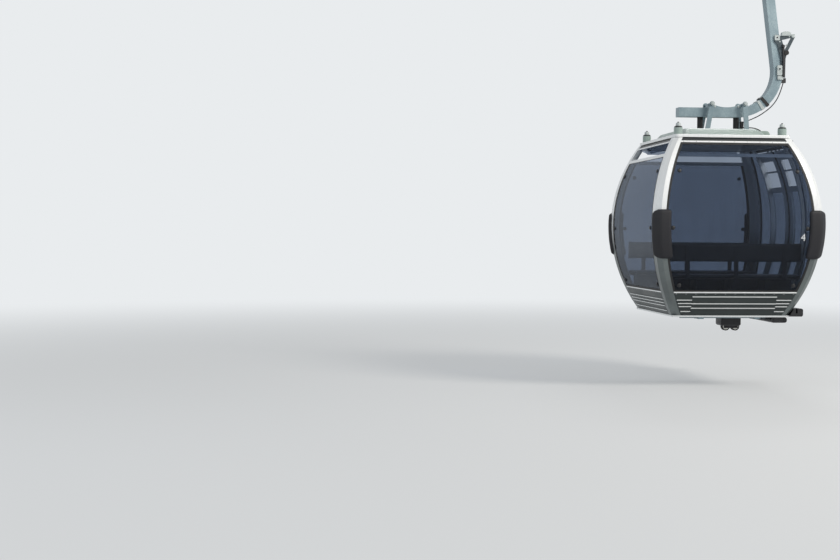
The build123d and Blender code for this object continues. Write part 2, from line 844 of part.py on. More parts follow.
# Saddle on the beam, with a hollowed top edge, and the straps that hold the cabin to the beam
saddle_high_z = -1408
saddle_dip_z = -1446
saddle_half_y = 52
saddle_left = strap_places[0][0] + strap_pin_radius + 8
saddle_right = strap_places[1][0] - strap_pin_radius - 8
with BuildPart() as saddle:
    with BuildSketch(Plane.XZ):
        with BuildLine():
            Line((saddle_left, beam_high_z), (saddle_right, beam_high_z))
            Line((saddle_right, beam_high_z), (saddle_right, saddle_high_z))
            ThreePointArc(
                (saddle_right, saddle_high_z),
                ((saddle_left + saddle_right) / 2, saddle_dip_z),
                (saddle_left, saddle_high_z),
            )
            Line((saddle_left, saddle_high_z), (saddle_left, beam_high_z))
        make_face()
        pin_seat_z = (beam_high_z + strap_pin_z) / 2
        with Locations(*[(top_x, pin_seat_z) for top_x, foot_x in strap_places]):
            Rectangle(2 * (strap_pin_radius + 8), strap_pin_z - beam_high_z)
        with Locations(*[(top_x, strap_pin_z) for top_x, foot_x in strap_places]):
            Circle(strap_pin_radius, mode=Mode.SUBTRACT)
    extrude(amount=saddle_half_y, both=True)
    add(hanger_arm.part, mode=Mode.SUBTRACT)
save(saddle, "saddle")

with BuildPart() as strap_brackets:
    for top_x, foot_x in strap_places:
        for side in (-1, 1):
            with BuildSketch(Plane.XZ.offset(side * strap_y)):
                with BuildLine():
                    Polyline(
                        (top_x - strap_half_width, strap_pin_z), (top_x + strap_half_width, strap_pin_z),
                        (foot_x + strap_half_width, hood_top_z), (foot_x - strap_half_width, hood_top_z),
                        close=True,
                    )
                make_face()
                with Locations((top_x, strap_pin_z)):
                    Circle(strap_half_width)
            extrude(amount=strap_thickness / 2, both=True)
        with Locations((top_x, 0, strap_pin_z)):
            Cylinder(strap_pin_radius, 2 * strap_y + strap_thickness + 28, rotation=(90, 0, 0))
        with Locations(*[(foot_x, side * (strap_y - 6), hood_top_z + 8) for side in (-1, 1)]):
            Box(92, 66, 16)
save(strap_brackets, "strap_brackets")

# Rubber mounts between the beam and the hood
mount_low_z = hood_top_z
mount_places = (-246, 194)
with BuildPart() as rubber_mounts:
    for x in mount_places:
        with Locations((x, 0, (beam_low_z + mount_low_z) / 2)):
            Cylinder(34, beam_low_z - mount_low_z)
        with Locations((x, 0, mount_low_z + 12)):
            Box(90, 96, 24)
save(rubber_mounts, "rubber_mounts")

# Door lever on the arm's outer side: bracket, roller and its cable's holder
bracket_front_y = -arm_depth / 2
with BuildPart() as lever_bracket:
    with BuildSketch(Plane.XZ.offset(-bracket_front_y)):
        with BuildLine():
            Polyline(
                (628, -604), (868, -566), (876, -600), (786, -780), (764, -860), (762, -1085),
                (722, -1085), (706, -860), (664, -700), (628, -660), close=True,
            )
        make_face()
        with BuildLine():
            Polyline((716, -640), (826, -612), (752, -760), close=True)
        make_face(mode=Mode.SUBTRACT)
    extrude(amount=16)
save(lever_bracket, "lever_bracket")
lever_roller_place = (770, -792)
with BuildPart() as lever_roller:
    with Locations((lever_roller_place[0], bracket_front_y - 8, lever_roller_place[1])):
        Cylinder(28, 60, rotation=(90, 0, 0))
    add(lever_bracket.part, mode=Mode.SUBTRACT)
save(lever_roller, "lever_roller")

# Door operator on the roof, beside the hood
operator_low = (362, -330, pan_top_z)
operator_high = (500, -70, -1744)
with BuildPart() as door_operator:
    add(block(*zip(operator_low, operator_high)))
    top_edges = door_operator.edges().group_by(Axis.Z)[-1].filter_by(Axis.Y)
    fillet(top_edges, radius=48)
save(door_operator, "door_operator")

# Cables of the door gear: the upper one from the lever to the beam, the lower one into the roof
cable_diameter = 12
cable_y = -30
# Columns: X and Z of the route, in the plane cable_y
door_cable_route = ((758, -1143), (719, -1283), (635, -1418), (493, -1527), (383, -1581), (272, -1625))
roof_cable_route = ((272, -1686), (340, -1682), (425, -1690), (492, -1720), (520, -1770), (524, -1822))


def cable(route):
    """A cable of straight runs joined by arcs as large as the runs allow; prints its radii."""
    points = [Vector(x, cable_y, z) for x, z in route]
    radii = []
    for before, here, after in zip(points, points[1:], points[2:]):
        turn = (here - before).get_angle(after - here)
        shorter = min((here - before).length, (after - here).length)
        radii.append(0.45 * shorter * cos(radians(turn / 2)) / sin(radians(turn / 2)))
    print("cable radii", [round(radius) for radius in radii])
    with BuildPart() as tube:
        with BuildLine() as path:
            FilletPolyline(*points, radius=radii)
        with BuildSketch(Plane(origin=path.line @ 0, z_dir=path.line % 0)):
            Circle(cable_diameter / 2)
        sweep()
    length = path.wires()[0].length
    section_area = pi * cable_diameter ** 2 / 4
    print("cable length", round(length), "volume ratio", round(tube.part.volume / (section_area * length), 3))
    return tube.part


cable_tubes = []
for name, route in (("door_cable", door_cable_route), ("roof_cable", roof_cable_route)):
    cable_solid = cable(route)
    with BuildPart() as cable_part:
        add(cable_solid)
    save(cable_part, name)
    cable_tubes.append(cable_part.part)

# Cable ends: a holder under the lever, a clamp block on the mount and a gland in the roof
with BuildPart() as cable_ends:
    with Locations((748, cable_y, -1116)):
        Box(72, 40, 56)
    with Locations((253, cable_y, -1655)):
        Box(38, 40, 84)
    with Locations((524, cable_y, (-1822 + rim_top_z) / 2)):
        Cylinder(14, -1822 - rim_top_z)
    for tool in cable_tubes + [hanger_arm.part]:
        add(tool, mode=Mode.SUBTRACT)
save(cable_ends, "cable_ends")

# Grip: a cast body with the fixed jaw, the wheel beam and the boss of the hanger's axle
rope_radius = rope_diameter / 2
jaw_half = jaw_length / 2
body_half_y = 50
ear_low_y = 34
lever_half_y = 28
pivot_x, pivot_high_z = jaw_pivot
spine_top_z = -15
boss_radius = 65
boss_span_x = (395, 470)
beam_span_x = (330, 385)
stub_radius = 18


def on_rope(angle):
    """A point on the rope's surface, at an angle from +X."""
    return (rope_radius * cos(radians(angle)), rope_radius * sin(radians(angle)))


with BuildPart() as grip_body:
    with BuildSketch(Plane.XZ):
        with BuildLine():
            ThreePointArc(on_rope(-55), on_rope(0), on_rope(60))
            Polyline(on_rope(60), (26, 33), (60, 48), (120, 48), (120, -60), (60, -46), (22, -32), on_rope(-55))
        make_face()
    extrude(amount=jaw_half, both=True)
    with BuildSketch(Plane.XZ):
        with BuildLine():
            Polyline(
                (70, 40), (60, -46), (130, -88), (boss_span_x[1], -88), (boss_span_x[1], spine_top_z),
                (140, spine_top_z), (118, 40), close=True,
            )
        make_face()
    extrude(amount=body_half_y, both=True)
    for side in (-1, 1):
        with BuildSketch(Plane.XZ.offset(side * (ear_low_y + body_half_y) / 2)):
            with Locations(jaw_pivot):
                Circle(36)
            with Locations((pivot_x + 2, 30)):
                Rectangle(68, 130)
        extrude(amount=(body_half_y - ear_low_y) / 2, both=True)
    for side in (-1, 1):
        with BuildSketch(Plane.XZ.offset(side * 58)):
            with BuildLine():
                Polyline(
                    (100, -60), (235, -60), (215, plate_top_z - plate_thickness),
                    (115, plate_top_z - plate_thickness), close=True,
                )
            make_face()
            with Locations((166, 60)):
                Rectangle(60, 90, mode=Mode.SUBTRACT)
        extrude(amount=8, both=True)
    with Locations(((beam_span_x[0] + beam_span_x[1]) / 2, 0, wheel_z - 5)):
        Box(beam_span_x[1] - beam_span_x[0], 2 * wheel_y + 60, 56)
    with Locations(Location((sum(boss_span_x) / 2, 0, pivot_z), (0, 90, 0))):
        Cylinder(boss_radius, boss_span_x[1] - boss_span_x[0])
    stub_length = wheel_low_x + wheel_width + 8 - beam_span_x[1]
    for side in (-1, 1):
        with Locations(
            Location((beam_span_x[1] + stub_length / 2, side * wheel_y, wheel_z), (0, 90, 0))
        ):
            Cylinder(stub_radius, stub_length)
    for side in (-1, 1):
        with Locations((255, side * 44, -52)):
            Box(190, 36, 44, mode=Mode.SUBTRACT)
    with BuildSketch(Plane.XZ):
        with Locations(jaw_pivot):
            Circle(17)
    extrude(amount=reach, both=True, mode=Mode.SUBTRACT)
save(grip_body, "grip_body")

with BuildPart() as grip_axle:
    axle_low_x = boss_span_x[1]
    with Locations(Location(((axle_low_x + eye_high_x + 24) / 2, 0, pivot_z), (0, 90, 0))):
        Cylinder(axle_radius, eye_high_x + 24 - axle_low_x)
    with Locations(Location(((axle_low_x + eye_low_x - 6) / 2, 0, pivot_z), (0, 90, 0))):
        Cylinder(46, eye_low_x - 6 - axle_low_x)
    with Locations(Location((eye_high_x + 15, 0, pivot_z), (0, 90, 0))):
        Cylinder(50, 18)
save(grip_axle, "grip_axle")

with BuildPart() as friction_plate:
    with BuildSketch(Plane.YZ.offset(95)):
        with BuildLine():
            low_z = plate_top_z - plate_thickness
            Polyline(
                (-plate_half_y, low_z - 26), (-plate_half_y + 50, low_z), (plate_half_y - 50, low_z),
                (plate_half_y, low_z - 26), (plate_half_y, low_z - 12), (plate_half_y - 46, plate_top_z),
                (-plate_half_y + 46, plate_top_z), (-plate_half_y, low_z - 12), close=True,
            )
        make_face()
    extrude(amount=140)
save(friction_plate, "friction_plate")

# Springs that hold the jaw shut, between the body and the foot of the lever
spring_places = (215, 295)
spring_low_z = spine_top_z
spring_high_z = 94
spring_turns = 6
spring_radius = 28
wire_radius = 6
pitch = (spring_high_z - spring_low_z) / spring_turns
with BuildPart() as grip_springs:
    for x in spring_places:
        with Locations((x, 0, (spring_low_z + spring_high_z) / 2)):
            Cylinder(spring_radius - wire_radius, spring_high_z - spring_low_z)
        with Locations(*[(x, 0, spring_low_z + pitch * (turn + 0.5)) for turn in range(spring_turns)]):
            Cylinder(spring_radius, 2 * wire_radius)
save(grip_springs, "grip_springs")

with BuildPart() as jaw_pin:
    with Locations((pivot_x, 0, pivot_high_z)):
        Cylinder(17, 2 * body_half_y, rotation=(90, 0, 0))
    with Locations(*[(pivot_x, side * (body_half_y + 3), pivot_high_z) for side in (-1, 1)]):
        Cylinder(22, 6, rotation=(90, 0, 0))
save(jaw_pin, "jaw_pin")

# Moving jaw with its lever and the foot that the springs press on
foot_high_z = 106
with BuildPart() as moving_jaw:
    with BuildSketch(Plane.XZ):
        with BuildLine():
            ThreePointArc(on_rope(95), on_rope(165), on_rope(235))
            Polyline(
                on_rope(235), (-24, -30), (-46, -16), (-54, 14), (-40, 52), (-6, 84), (38, 108),
                (38, 50), (22, 42), on_rope(95),
            )
        make_face()
    extrude(amount=jaw_half - 2, both=True)
    with BuildSketch(Plane.XZ):
        with Locations(jaw_pivot):
            Circle(35)
        with BuildLine():
            Polyline((30, 64), (85, 60), (395, 164), (395, 216), (75, 130), (20, 96), close=True)
        make_face()
        with Locations(coupling_place):
            Circle(27)
        with Locations((255, 101)):
            Rectangle(150, 14)
        with BuildLine():
            Polyline((190, 95), (320, 95), (320, 145), (190, 101), close=True)
        make_face()
    extrude(amount=lever_half_y, both=True)
    with BuildSketch(Plane.XZ):
        with Locations(jaw_pivot):
            Circle(17 + axle_clearance)
    extrude(amount=reach, both=True, mode=Mode.SUBTRACT)
    with Locations((coupling_place[0] + 10, 0, coupling_place[1])):
        Box(100, 34, 120, mode=Mode.SUBTRACT)
    with BuildSketch(Plane.XZ):
        with Locations(coupling_place):
            Circle(10)
    extrude(amount=reach, both=True, mode=Mode.SUBTRACT)
save(moving_jaw, "moving_jaw")

with BuildPart() as coupling_roller:
    with Locations((coupling_place[0], 0, coupling_place[1])):
        Cylinder(coupling_radius, 30, rotation=(90, 0, 0))
        Cylinder(10, 2 * lever_half_y, rotation=(90, 0, 0))
save(coupling_roller, "coupling_roller")

# Running wheels on the beam's stubs: rim, web and hub around a plain bore
for end_name, side in (("front", -1), ("rear", 1)):
    with BuildPart() as wheel:
        with BuildSketch(Plane.XY):
            with BuildLine():
                Polyline(
                    (stub_radius + axle_clearance, 0), (30, 0), (30, 8), (50, 8), (50, 0),
                    (wheel_radius, 3), (wheel_radius, wheel_width - 3), (50, wheel_width),
                    (50, wheel_width - 8), (30, wheel_width - 8), (30, wheel_width),
                    (stub_radius + axle_clearance, wheel_width), close=True,
                )
            make_face()
        revolve(axis=Axis.Y)
    wheel_solid = wheel.part.rotate(Axis.Z, -90).moved(Location((wheel_low_x, side * wheel_y, wheel_z)))
    with BuildPart() as wheel_part:
        add(wheel_solid)
    save(wheel_part, f"wheel_{end_name}")
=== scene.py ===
# Looks of a gondola lift's cabin with its hanger arm and rope grip. Metres, in the frame of the CAD:
# the origin is the middle of the rope clamp, +Z is up, the rope runs along Y and +X is the door side.
import math

import bmesh
import bpy
from mathutils import Matrix, Vector


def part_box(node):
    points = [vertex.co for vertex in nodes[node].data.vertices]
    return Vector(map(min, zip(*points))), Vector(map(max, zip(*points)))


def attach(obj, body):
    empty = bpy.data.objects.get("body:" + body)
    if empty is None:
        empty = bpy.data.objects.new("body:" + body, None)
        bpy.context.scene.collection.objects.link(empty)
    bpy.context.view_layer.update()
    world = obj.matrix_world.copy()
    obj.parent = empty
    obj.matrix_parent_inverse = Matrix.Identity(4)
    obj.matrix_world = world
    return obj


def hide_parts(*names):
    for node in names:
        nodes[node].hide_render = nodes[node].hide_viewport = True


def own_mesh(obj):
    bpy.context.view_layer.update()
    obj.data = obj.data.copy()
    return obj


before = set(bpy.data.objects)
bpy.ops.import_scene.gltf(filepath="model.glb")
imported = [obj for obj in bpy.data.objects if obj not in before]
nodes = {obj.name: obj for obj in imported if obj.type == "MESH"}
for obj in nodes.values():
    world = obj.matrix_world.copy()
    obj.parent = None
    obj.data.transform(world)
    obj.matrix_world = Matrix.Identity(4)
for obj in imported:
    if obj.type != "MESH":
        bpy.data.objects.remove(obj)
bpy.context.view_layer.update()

# Barrel shape of the cabin's walls, as in the CAD. A pair of walls has a half width at the bulge, and the
# radii of its arcs above and below the bulge
CABIN_X = -0.100
BULGE_Z = -2.852
SKIRT_TOP_Z = -3.620
SIDE_WALL = (0.966, 1.860, 2.030)
END_WALL = (1.129, 1.810, 1.970)
# Each wall: its shape, the axis that it faces along (0 is X, 1 is Y) and the side that it is on
WALLS = {
    "front": (END_WALL, 1, -1), "rear": (END_WALL, 1, 1),
    "left": (SIDE_WALL, 0, -1), "right": (SIDE_WALL, 0, 1),
}
# Inner edges of the corner posts, which are a little flatter than the walls
FRONT_LEG = 0.110
SIDE_LEG = 0.170
EDGE_FLATTENING = 0.120
SIDE_EDGE = (SIDE_WALL[0] - FRONT_LEG, SIDE_WALL[1] + EDGE_FLATTENING, SIDE_WALL[2] + EDGE_FLATTENING)
END_EDGE = (END_WALL[0] - SIDE_LEG, END_WALL[1] + EDGE_FLATTENING, END_WALL[2] + EDGE_FLATTENING)
CORNER_CUT = 0.052


def linear(code):
    """An sRGB hex colour as linear RGBA."""
    parts = [int(code[i:i + 2], 16) / 255 for i in (0, 2, 4)]
    return [p / 12.92 if p <= 0.04045 else ((p + 0.055) / 1.055) ** 2.4 for p in parts] + [1.0]


def evenly(low, high, count):
    """Numbers at even steps, from low to high."""
    return [low + (high - low) * i / (count - 1) for i in range(count)]


def half_at(shape, z, proud=0.0):
    """Half width of a barrel wall at height z, for a surface moved out by proud."""
    half, top_radius, low_radius = shape
    radius = top_radius if z > BULGE_Z else low_radius
    return half - radius + math.sqrt((radius + proud) ** 2 - (z - BULGE_Z) ** 2)


def wall_spot(wall, along, z, proud=0.0):
    """A point on a wall and the wall's outward direction there; along runs across the wall."""
    shape, axis, sign = WALLS[wall]
    radius = shape[1] if z > BULGE_Z else shape[2]
    rise = (z - BULGE_Z) / radius
    out = math.sqrt(1 - rise * rise)
    reach = half_at(shape, z, proud)
    spot = Vector((CABIN_X + along, sign * reach, z)) if axis else Vector((CABIN_X + sign * reach, along, z))
    direction = Vector((0, sign * out, rise)) if axis else Vector((sign * out, 0, rise))
    return spot, direction


def clear_half(wall, z):
    """Half of a wall's width between the corner posts at height z."""
    return half_at(SIDE_EDGE if WALLS[wall][1] else END_EDGE, z)


# Material tools
def add(tree, kind, values=None, links=None, **settings):
    """Adds a shader or geometry node with its settings, input values and links."""
    node = tree.nodes.new(kind)
    for key, value in settings.items():
        setattr(node, key, value)
    for key, value in (values or {}).items():
        node.inputs[key].default_value = value
    for key, socket in (links or {}).items():
        tree.links.new(socket, node.inputs[key])
    return node


def new_finish(name):
    """An empty material with its output, and the object coordinates that its patterns read."""
    finish = bpy.data.materials.new(name)
    finish.use_nodes = True
    tree = finish.node_tree
    tree.nodes.clear()
    output = add(tree, "ShaderNodeOutputMaterial")
    place = add(tree, "ShaderNodeTexCoord").outputs["Object"]
    return finish, tree, output, place


def worn(tree, place, size, low, high, detail=4.0, stretch=(1, 1, 1)):
    """Noise of a real size in metres, stretched along an axis and cut to between two levels."""
    mapped = add(tree, "ShaderNodeMapping", {"Scale": stretch}, {"Vector": place})
    noise = add(
        tree, "ShaderNodeTexNoise", {"Scale": 1 / size, "Detail": detail, "Roughness": 0.6},
        {"Vector": mapped.outputs[0]},
    )
    return add(
        tree, "ShaderNodeMapRange", {"From Min": low, "From Max": high}, {"Value": noise.outputs["Fac"]},
    ).outputs[0]


def blend_colours(tree, factor, first, second):
    """Two colours mixed by a factor; each is a hex code or a socket."""
    node = add(tree, "ShaderNodeMix", None, {"Factor": factor}, data_type="RGBA")
    for slot, colour in (("A", first), ("B", second)):
        socket = [s for s in node.inputs if s.name == slot and s.type == "RGBA"][0]
        if isinstance(colour, str):
            socket.default_value = linear(colour)
        else:
            tree.links.new(colour, socket)
    return [s for s in node.outputs if s.type == "RGBA"][0]


def levels(tree, factor, low, high):
    """A factor from 0 to 1 turned into a number between two levels."""
    return add(tree, "ShaderNodeMapRange", {"To Min": low, "To Max": high}, {"Value": factor}).outputs[0]


def height_fade(tree, place, low_z, high_z):
    """0 below one height and 1 above another, in the part's frame."""
    split = add(tree, "ShaderNodeSeparateXYZ", None, {"Vector": place})
    return add(
        tree, "ShaderNodeMapRange", {"From Min": low_z, "From Max": high_z}, {"Value": split.outputs["Z"]},
        interpolation_type="SMOOTHSTEP",
    ).outputs[0]


# Satin anodised aluminium profiles: fine lines from the extrusion die, a soft bright sheen, and painted
# shade that greys what lies below a height, for the shade and the dark ground reflected where faces turn
# down. The thick satin oxide looks more like pale paint than like bare metal, so Metallic is low
def anodised_aluminium(name, shade_low_z, shade_high_z):
    finish, tree, output, place = new_finish(name)
    # Die lines are a fraction of a millimetre and are drawn 4 mm wide so that they show
    lines = worn(tree, place, 0.004, 0.35, 0.65, 2.0, (1, 1, 0.02))
    film = worn(tree, place, 0.30, 0.35, 0.75)
    # Painted shade: below the given heights the colour turns to a grey that stands for shade and reflected
    # dark ground; the film noise only varies that grey and the roughness at random
    above = height_fade(tree, place, shade_low_z, shade_high_z)
    unshaded = blend_colours(tree, lines, "E8EBEC", "F4F6F6")
    ground_shade = blend_colours(tree, film, "6F7777", "565C5D")
    colour = blend_colours(tree, above, ground_shade, unshaded)
    bump = add(tree, "ShaderNodeBump", {"Strength": 0.05, "Distance": 0.001}, {"Height": lines})
    shader = add(
        tree, "ShaderNodeBsdfPrincipled", {"Metallic": 0.22},
        {"Base Color": colour, "Roughness": levels(tree, film, 0.34, 0.50), "Normal": bump.outputs[0]},
    )
    tree.links.new(shader.outputs[0], output.inputs["Surface"])
    return finish


# Tinted acrylic panes, 6 mm: a smoke tint with a blue-grey cast that passes about a third of the light,
# a clear reflection that grows where the pane is seen at a low angle, and a little dust
def tinted_acrylic():
    finish, tree, output, place = new_finish("tinted acrylic glazing")
    dust = worn(tree, place, 0.25, 0.45, 0.85, 6.0, (1, 1, 0.35))
    facing = add(tree, "ShaderNodeLayerWeight", {"Blend": 0.5}).outputs["Facing"]
    grazing = add(tree, "ShaderNodeMath", {1: 5.0}, {0: facing}, operation="POWER").outputs[0]
    # Share of the light that a face mirrors, seen straight on and edge on
    gloss_share = levels(tree, grazing, 0.014, 0.34)
    # Each pane has two faces, and each face takes the root of the pane's tint
    clear = add(tree, "ShaderNodeBsdfTransparent", {"Color": linear("BDC4CE")})
    film = add(
        tree, "ShaderNodeBsdfPrincipled", {"Base Color": linear("2B2F3D"), "Roughness": 0.10, "IOR": 1.49},
    )
    haze = levels(tree, dust, 0.05, 0.12)
    body = add(tree, "ShaderNodeMixShader", None, {0: haze, 1: clear.outputs[0], 2: film.outputs[0]})
    gloss = add(tree, "ShaderNodeBsdfAnisotropic", {"Color": linear("E2E9F2"), "Roughness": 0.04})
    pane = add(tree, "ShaderNodeMixShader", None, {0: gloss_share, 1: body.outputs[0], 2: gloss.outputs[0]})
    tree.links.new(pane.outputs[0], output.inputs["Surface"])
    return finish


# Painted finishes: an even coat with faint orange peel, and dust that gathers in large soft patches
def painted(name, coat, dusty, rough, peel=0.02, patch=0.4):
    finish, tree, output, place = new_finish(name)
    dust = worn(tree, place, patch, 0.4, 0.8, 6.0)
    grain = worn(tree, place, 0.006, 0.3, 0.7, 2.0)
    bump = add(tree, "ShaderNodeBump", {"Strength": peel, "Distance": 0.002}, {"Height": grain})
    shader = add(
        tree, "ShaderNodeBsdfPrincipled", {"Coat Weight": 0.15, "Coat Roughness": 0.2},
        {
            "Base Color": blend_colours(tree, dust, coat, dusty),
            "Roughness": levels(tree, dust, rough, rough + 0.2),
            "Normal": bump.outputs[0],
        },
    )
    tree.links.new(shader.outputs[0], output.inputs["Surface"])
    return finish


# Hot-dip galvanised steel: zinc crystals about 14 mm across, each with its own grey and sheen,
# weathered to a dull blue-green grey
def galvanised_steel():
    finish, tree, output, place = new_finish("hot-dip galvanised steel")
    crystals = add(tree, "ShaderNodeTexVoronoi", {"Scale": 1 / 0.014}, {"Vector": place})
    flake = add(tree, "ShaderNodeSeparateColor", None, {"Color": crystals.outputs["Color"]}).outputs[0]
    stain = worn(tree, place, 0.18, 0.4, 0.75, 6.0, (1, 1, 0.4))
    zinc = blend_colours(tree, flake, "879AA2", "98A9AF")
    colour = blend_colours(tree, stain, zinc, "748790")
    bump = add(tree, "ShaderNodeBump", {"Strength": 0.04, "Distance": 0.001}, {"Height": flake})
    shader = add(
        tree, "ShaderNodeBsdfPrincipled", {"Metallic": 0.35},
        {"Base Color": colour, "Roughness": levels(tree, flake, 0.42, 0.58), "Normal": bump.outputs[0]},
    )
    tree.links.new(shader.outputs[0], output.inputs["Surface"])
    return finish


# Cast steel with the sand's coarse skin, blackened in patches by grease
def cast_steel():
    finish, tree, output, place = new_finish("sand-cast steel")
    skin = worn(tree, place, 0.004, 0.25, 0.75, 6.0)
    grease = worn(tree, place, 0.06, 0.45, 0.7, 5.0)
    bump = add(tree, "ShaderNodeBump", {"Strength": 0.35, "Distance": 0.001}, {"Height": skin})
    shader = add(
        tree, "ShaderNodeBsdfPrincipled", {"Metallic": 0.5},
        {
            "Base Color": blend_colours(tree, grease, "7C8284", "3E4143"),
            "Roughness": levels(tree, grease, 0.55, 0.35),
            "Normal": bump.outputs[0],
        },
    )
    tree.links.new(shader.outputs[0], output.inputs["Surface"])
    return finish


# Turned and ground steel: bright, with fine rings from the tool
def machined_steel():
    finish, tree, output, place = new_finish("turned steel")
    rings = worn(tree, place, 0.002, 0.3, 0.7, 2.0, (1, 0.1, 1))
    oil = worn(tree, place, 0.05, 0.4, 0.8)
    shader = add(
        tree, "ShaderNodeBsdfPrincipled", {"Metallic": 1.0},
        {
            "Base Color": blend_colours(tree, oil, "B4B8BA", "8D8F8E"),
            "Roughness": levels(tree, rings, 0.22, 0.38),
        },
    )
    tree.links.new(shader.outputs[0], output.inputs["Surface"])
    return finish


# Moulded rubber and plastics: an even colour, a fine grain from the spark-eroded mould, and dust on top
def moulded(name, colour, dusty, rough, grain_size, grain_depth):
    finish, tree, output, place = new_finish(name)
    grain = worn(tree, place, grain_size, 0.3, 0.7, 3.0)
    dust = worn(tree, place, 0.12, 0.45, 0.9, 6.0)
    bump = add(tree, "ShaderNodeBump", {"Strength": grain_depth, "Distance": 0.001}, {"Height": grain})
    shader = add(
        tree, "ShaderNodeBsdfPrincipled", {"IOR": 1.5},
        {
            "Base Color": blend_colours(tree, dust, colour, dusty),
            "Roughness": levels(tree, dust, rough, min(1.0, rough + 0.2)),
            "Normal": bump.outputs[0],
        },
    )
    tree.links.new(shader.outputs[0], output.inputs["Surface"])
    return finish


# Black upholstery vinyl: a pressed leather grain under a satin lacquer. The real cells are 1 to 2 mm, and
# they are drawn 4 mm wide so that they show
def upholstery_vinyl():
    finish, tree, output, place = new_finish("grained upholstery vinyl")
    cells = add(
        tree, "ShaderNodeTexVoronoi", {"Scale": 1 / 0.004}, {"Vector": place}, feature="DISTANCE_TO_EDGE",
    )
    crease = add(
        tree, "ShaderNodeMapRange", {"From Max": 0.15}, {"Value": cells.outputs["Distance"]},
    ).outputs[0]
    wear = worn(tree, place, 0.15, 0.4, 0.8)
    bump = add(tree, "ShaderNodeBump", {"Strength": 0.3, "Distance": 0.001}, {"Height": crease})
    shader = add(
        tree, "ShaderNodeBsdfPrincipled", {"IOR": 1.5, "Sheen Weight": 0.1},
        {
            "Base Color": blend_colours(tree, wear, "1C1D21", "2B2C30"),
            "Roughness": levels(tree, wear, 0.42, 0.56),
            "Normal": bump.outputs[0],
        },
    )
    tree.links.new(shader.outputs[0], output.inputs["Surface"])
    return finish


# Rubber floor covering with raised round studs 28 mm apart, grey with trodden dirt between them
def studded_rubber():
    finish, tree, output, place = new_finish("studded rubber flooring")
    flat = add(tree, "ShaderNodeMapping", {"Scale": (1, 1, 0)}, {"Vector": place})
    studs = add(
        tree, "ShaderNodeTexVoronoi", {"Scale": 1 / 0.028, "Randomness": 0.0}, {"Vector": flat.outputs[0]},
    )
    stud = add(
        tree, "ShaderNodeMapRange", {"From Min": 0.38, "From Max": 0.30},
        {"Value": studs.outputs["Distance"]},
    ).outputs[0]
    dirt = worn(tree, place, 0.2, 0.35, 0.75, 6.0)
    colour = blend_colours(tree, stud, blend_colours(tree, dirt, "3B3E40", "554F49"), "4A4E50")
    bump = add(tree, "ShaderNodeBump", {"Strength": 0.6, "Distance": 0.002}, {"Height": stud})
    shader = add(
        tree, "ShaderNodeBsdfPrincipled", None,
        {"Base Color": colour, "Roughness": levels(tree, dirt, 0.55, 0.8), "Normal": bump.outputs[0]},
    )
    tree.links.new(shader.outputs[0], output.inputs["Surface"])
    return finish


# Painted shade: the posts turn grey behind the bumpers, where they start to face the ground, standing in
# for shade and the dark ground reflected there. The bright trim's grey lies below all its parts
ALUMINIUM = anodised_aluminium("anodised aluminium profile", -3.25, -2.80)
BRIGHT_TRIM = anodised_aluminium("bright anodised aluminium trim", -4.60, -4.20)
ACRYLIC = tinted_acrylic()
GALVANISED = galvanised_steel()
CAST = cast_steel()
TURNED = machined_steel()
# Zinc-plated fittings are smoother and paler than the dipped steel around them
ZINC_PLATED = painted("zinc-plated steel", "C3CBCB", "98A3A3", 0.34, 0.01, 0.05)
DARK_PANEL = painted("powder-coated skirt panel", "1F2929", "313A3A", 0.45)
HOOD_PAINT = painted("painted glass-fibre hood", "A5B6B0", "8B9B96", 0.38, 0.04)
# The header band is a dark powder coat, darkened further to near black as painted shade for the deep shadow
# under the roof rim
HEADER_SHADE_PAINT = painted("powder-coated header band with painted shade", "12181A", "20282A", 0.5)
DARK_STEEL = painted("weathered dark steel", "2E3C44", "4A575D", 0.5, 0.03, 0.06)
CEILING_PAINT = painted("laminated ceiling board", "8E9496", "7F8587", 0.5)
BUMPER_RUBBER = moulded("moulded bumper rubber", "0C0C13", "191922", 0.58, 0.003, 0.12)
GASKET = moulded("glazing gasket rubber", "111214", "232426", 0.6, 0.002, 0.05)
BLACK_PLASTIC = moulded("black glass-filled plastic", "15161A", "2A2B2E", 0.42, 0.002, 0.1)
CABLE_JACKET = moulded("cable jacket", "0B0C10", "17191D", 0.5, 0.002, 0.05)
NYLON = moulded("cast nylon", "E6E6DF", "B9B7AC", 0.35, 0.003, 0.05)
TYRE = moulded("wheel tyre rubber", "1A1A1B", "34322F", 0.7, 0.003, 0.2)
VINYL = upholstery_vinyl()
FLOORING = studded_rubber()
WHITE_FILM = painted("white marking film", "E4E6E8", "D2D4D6", 0.4)

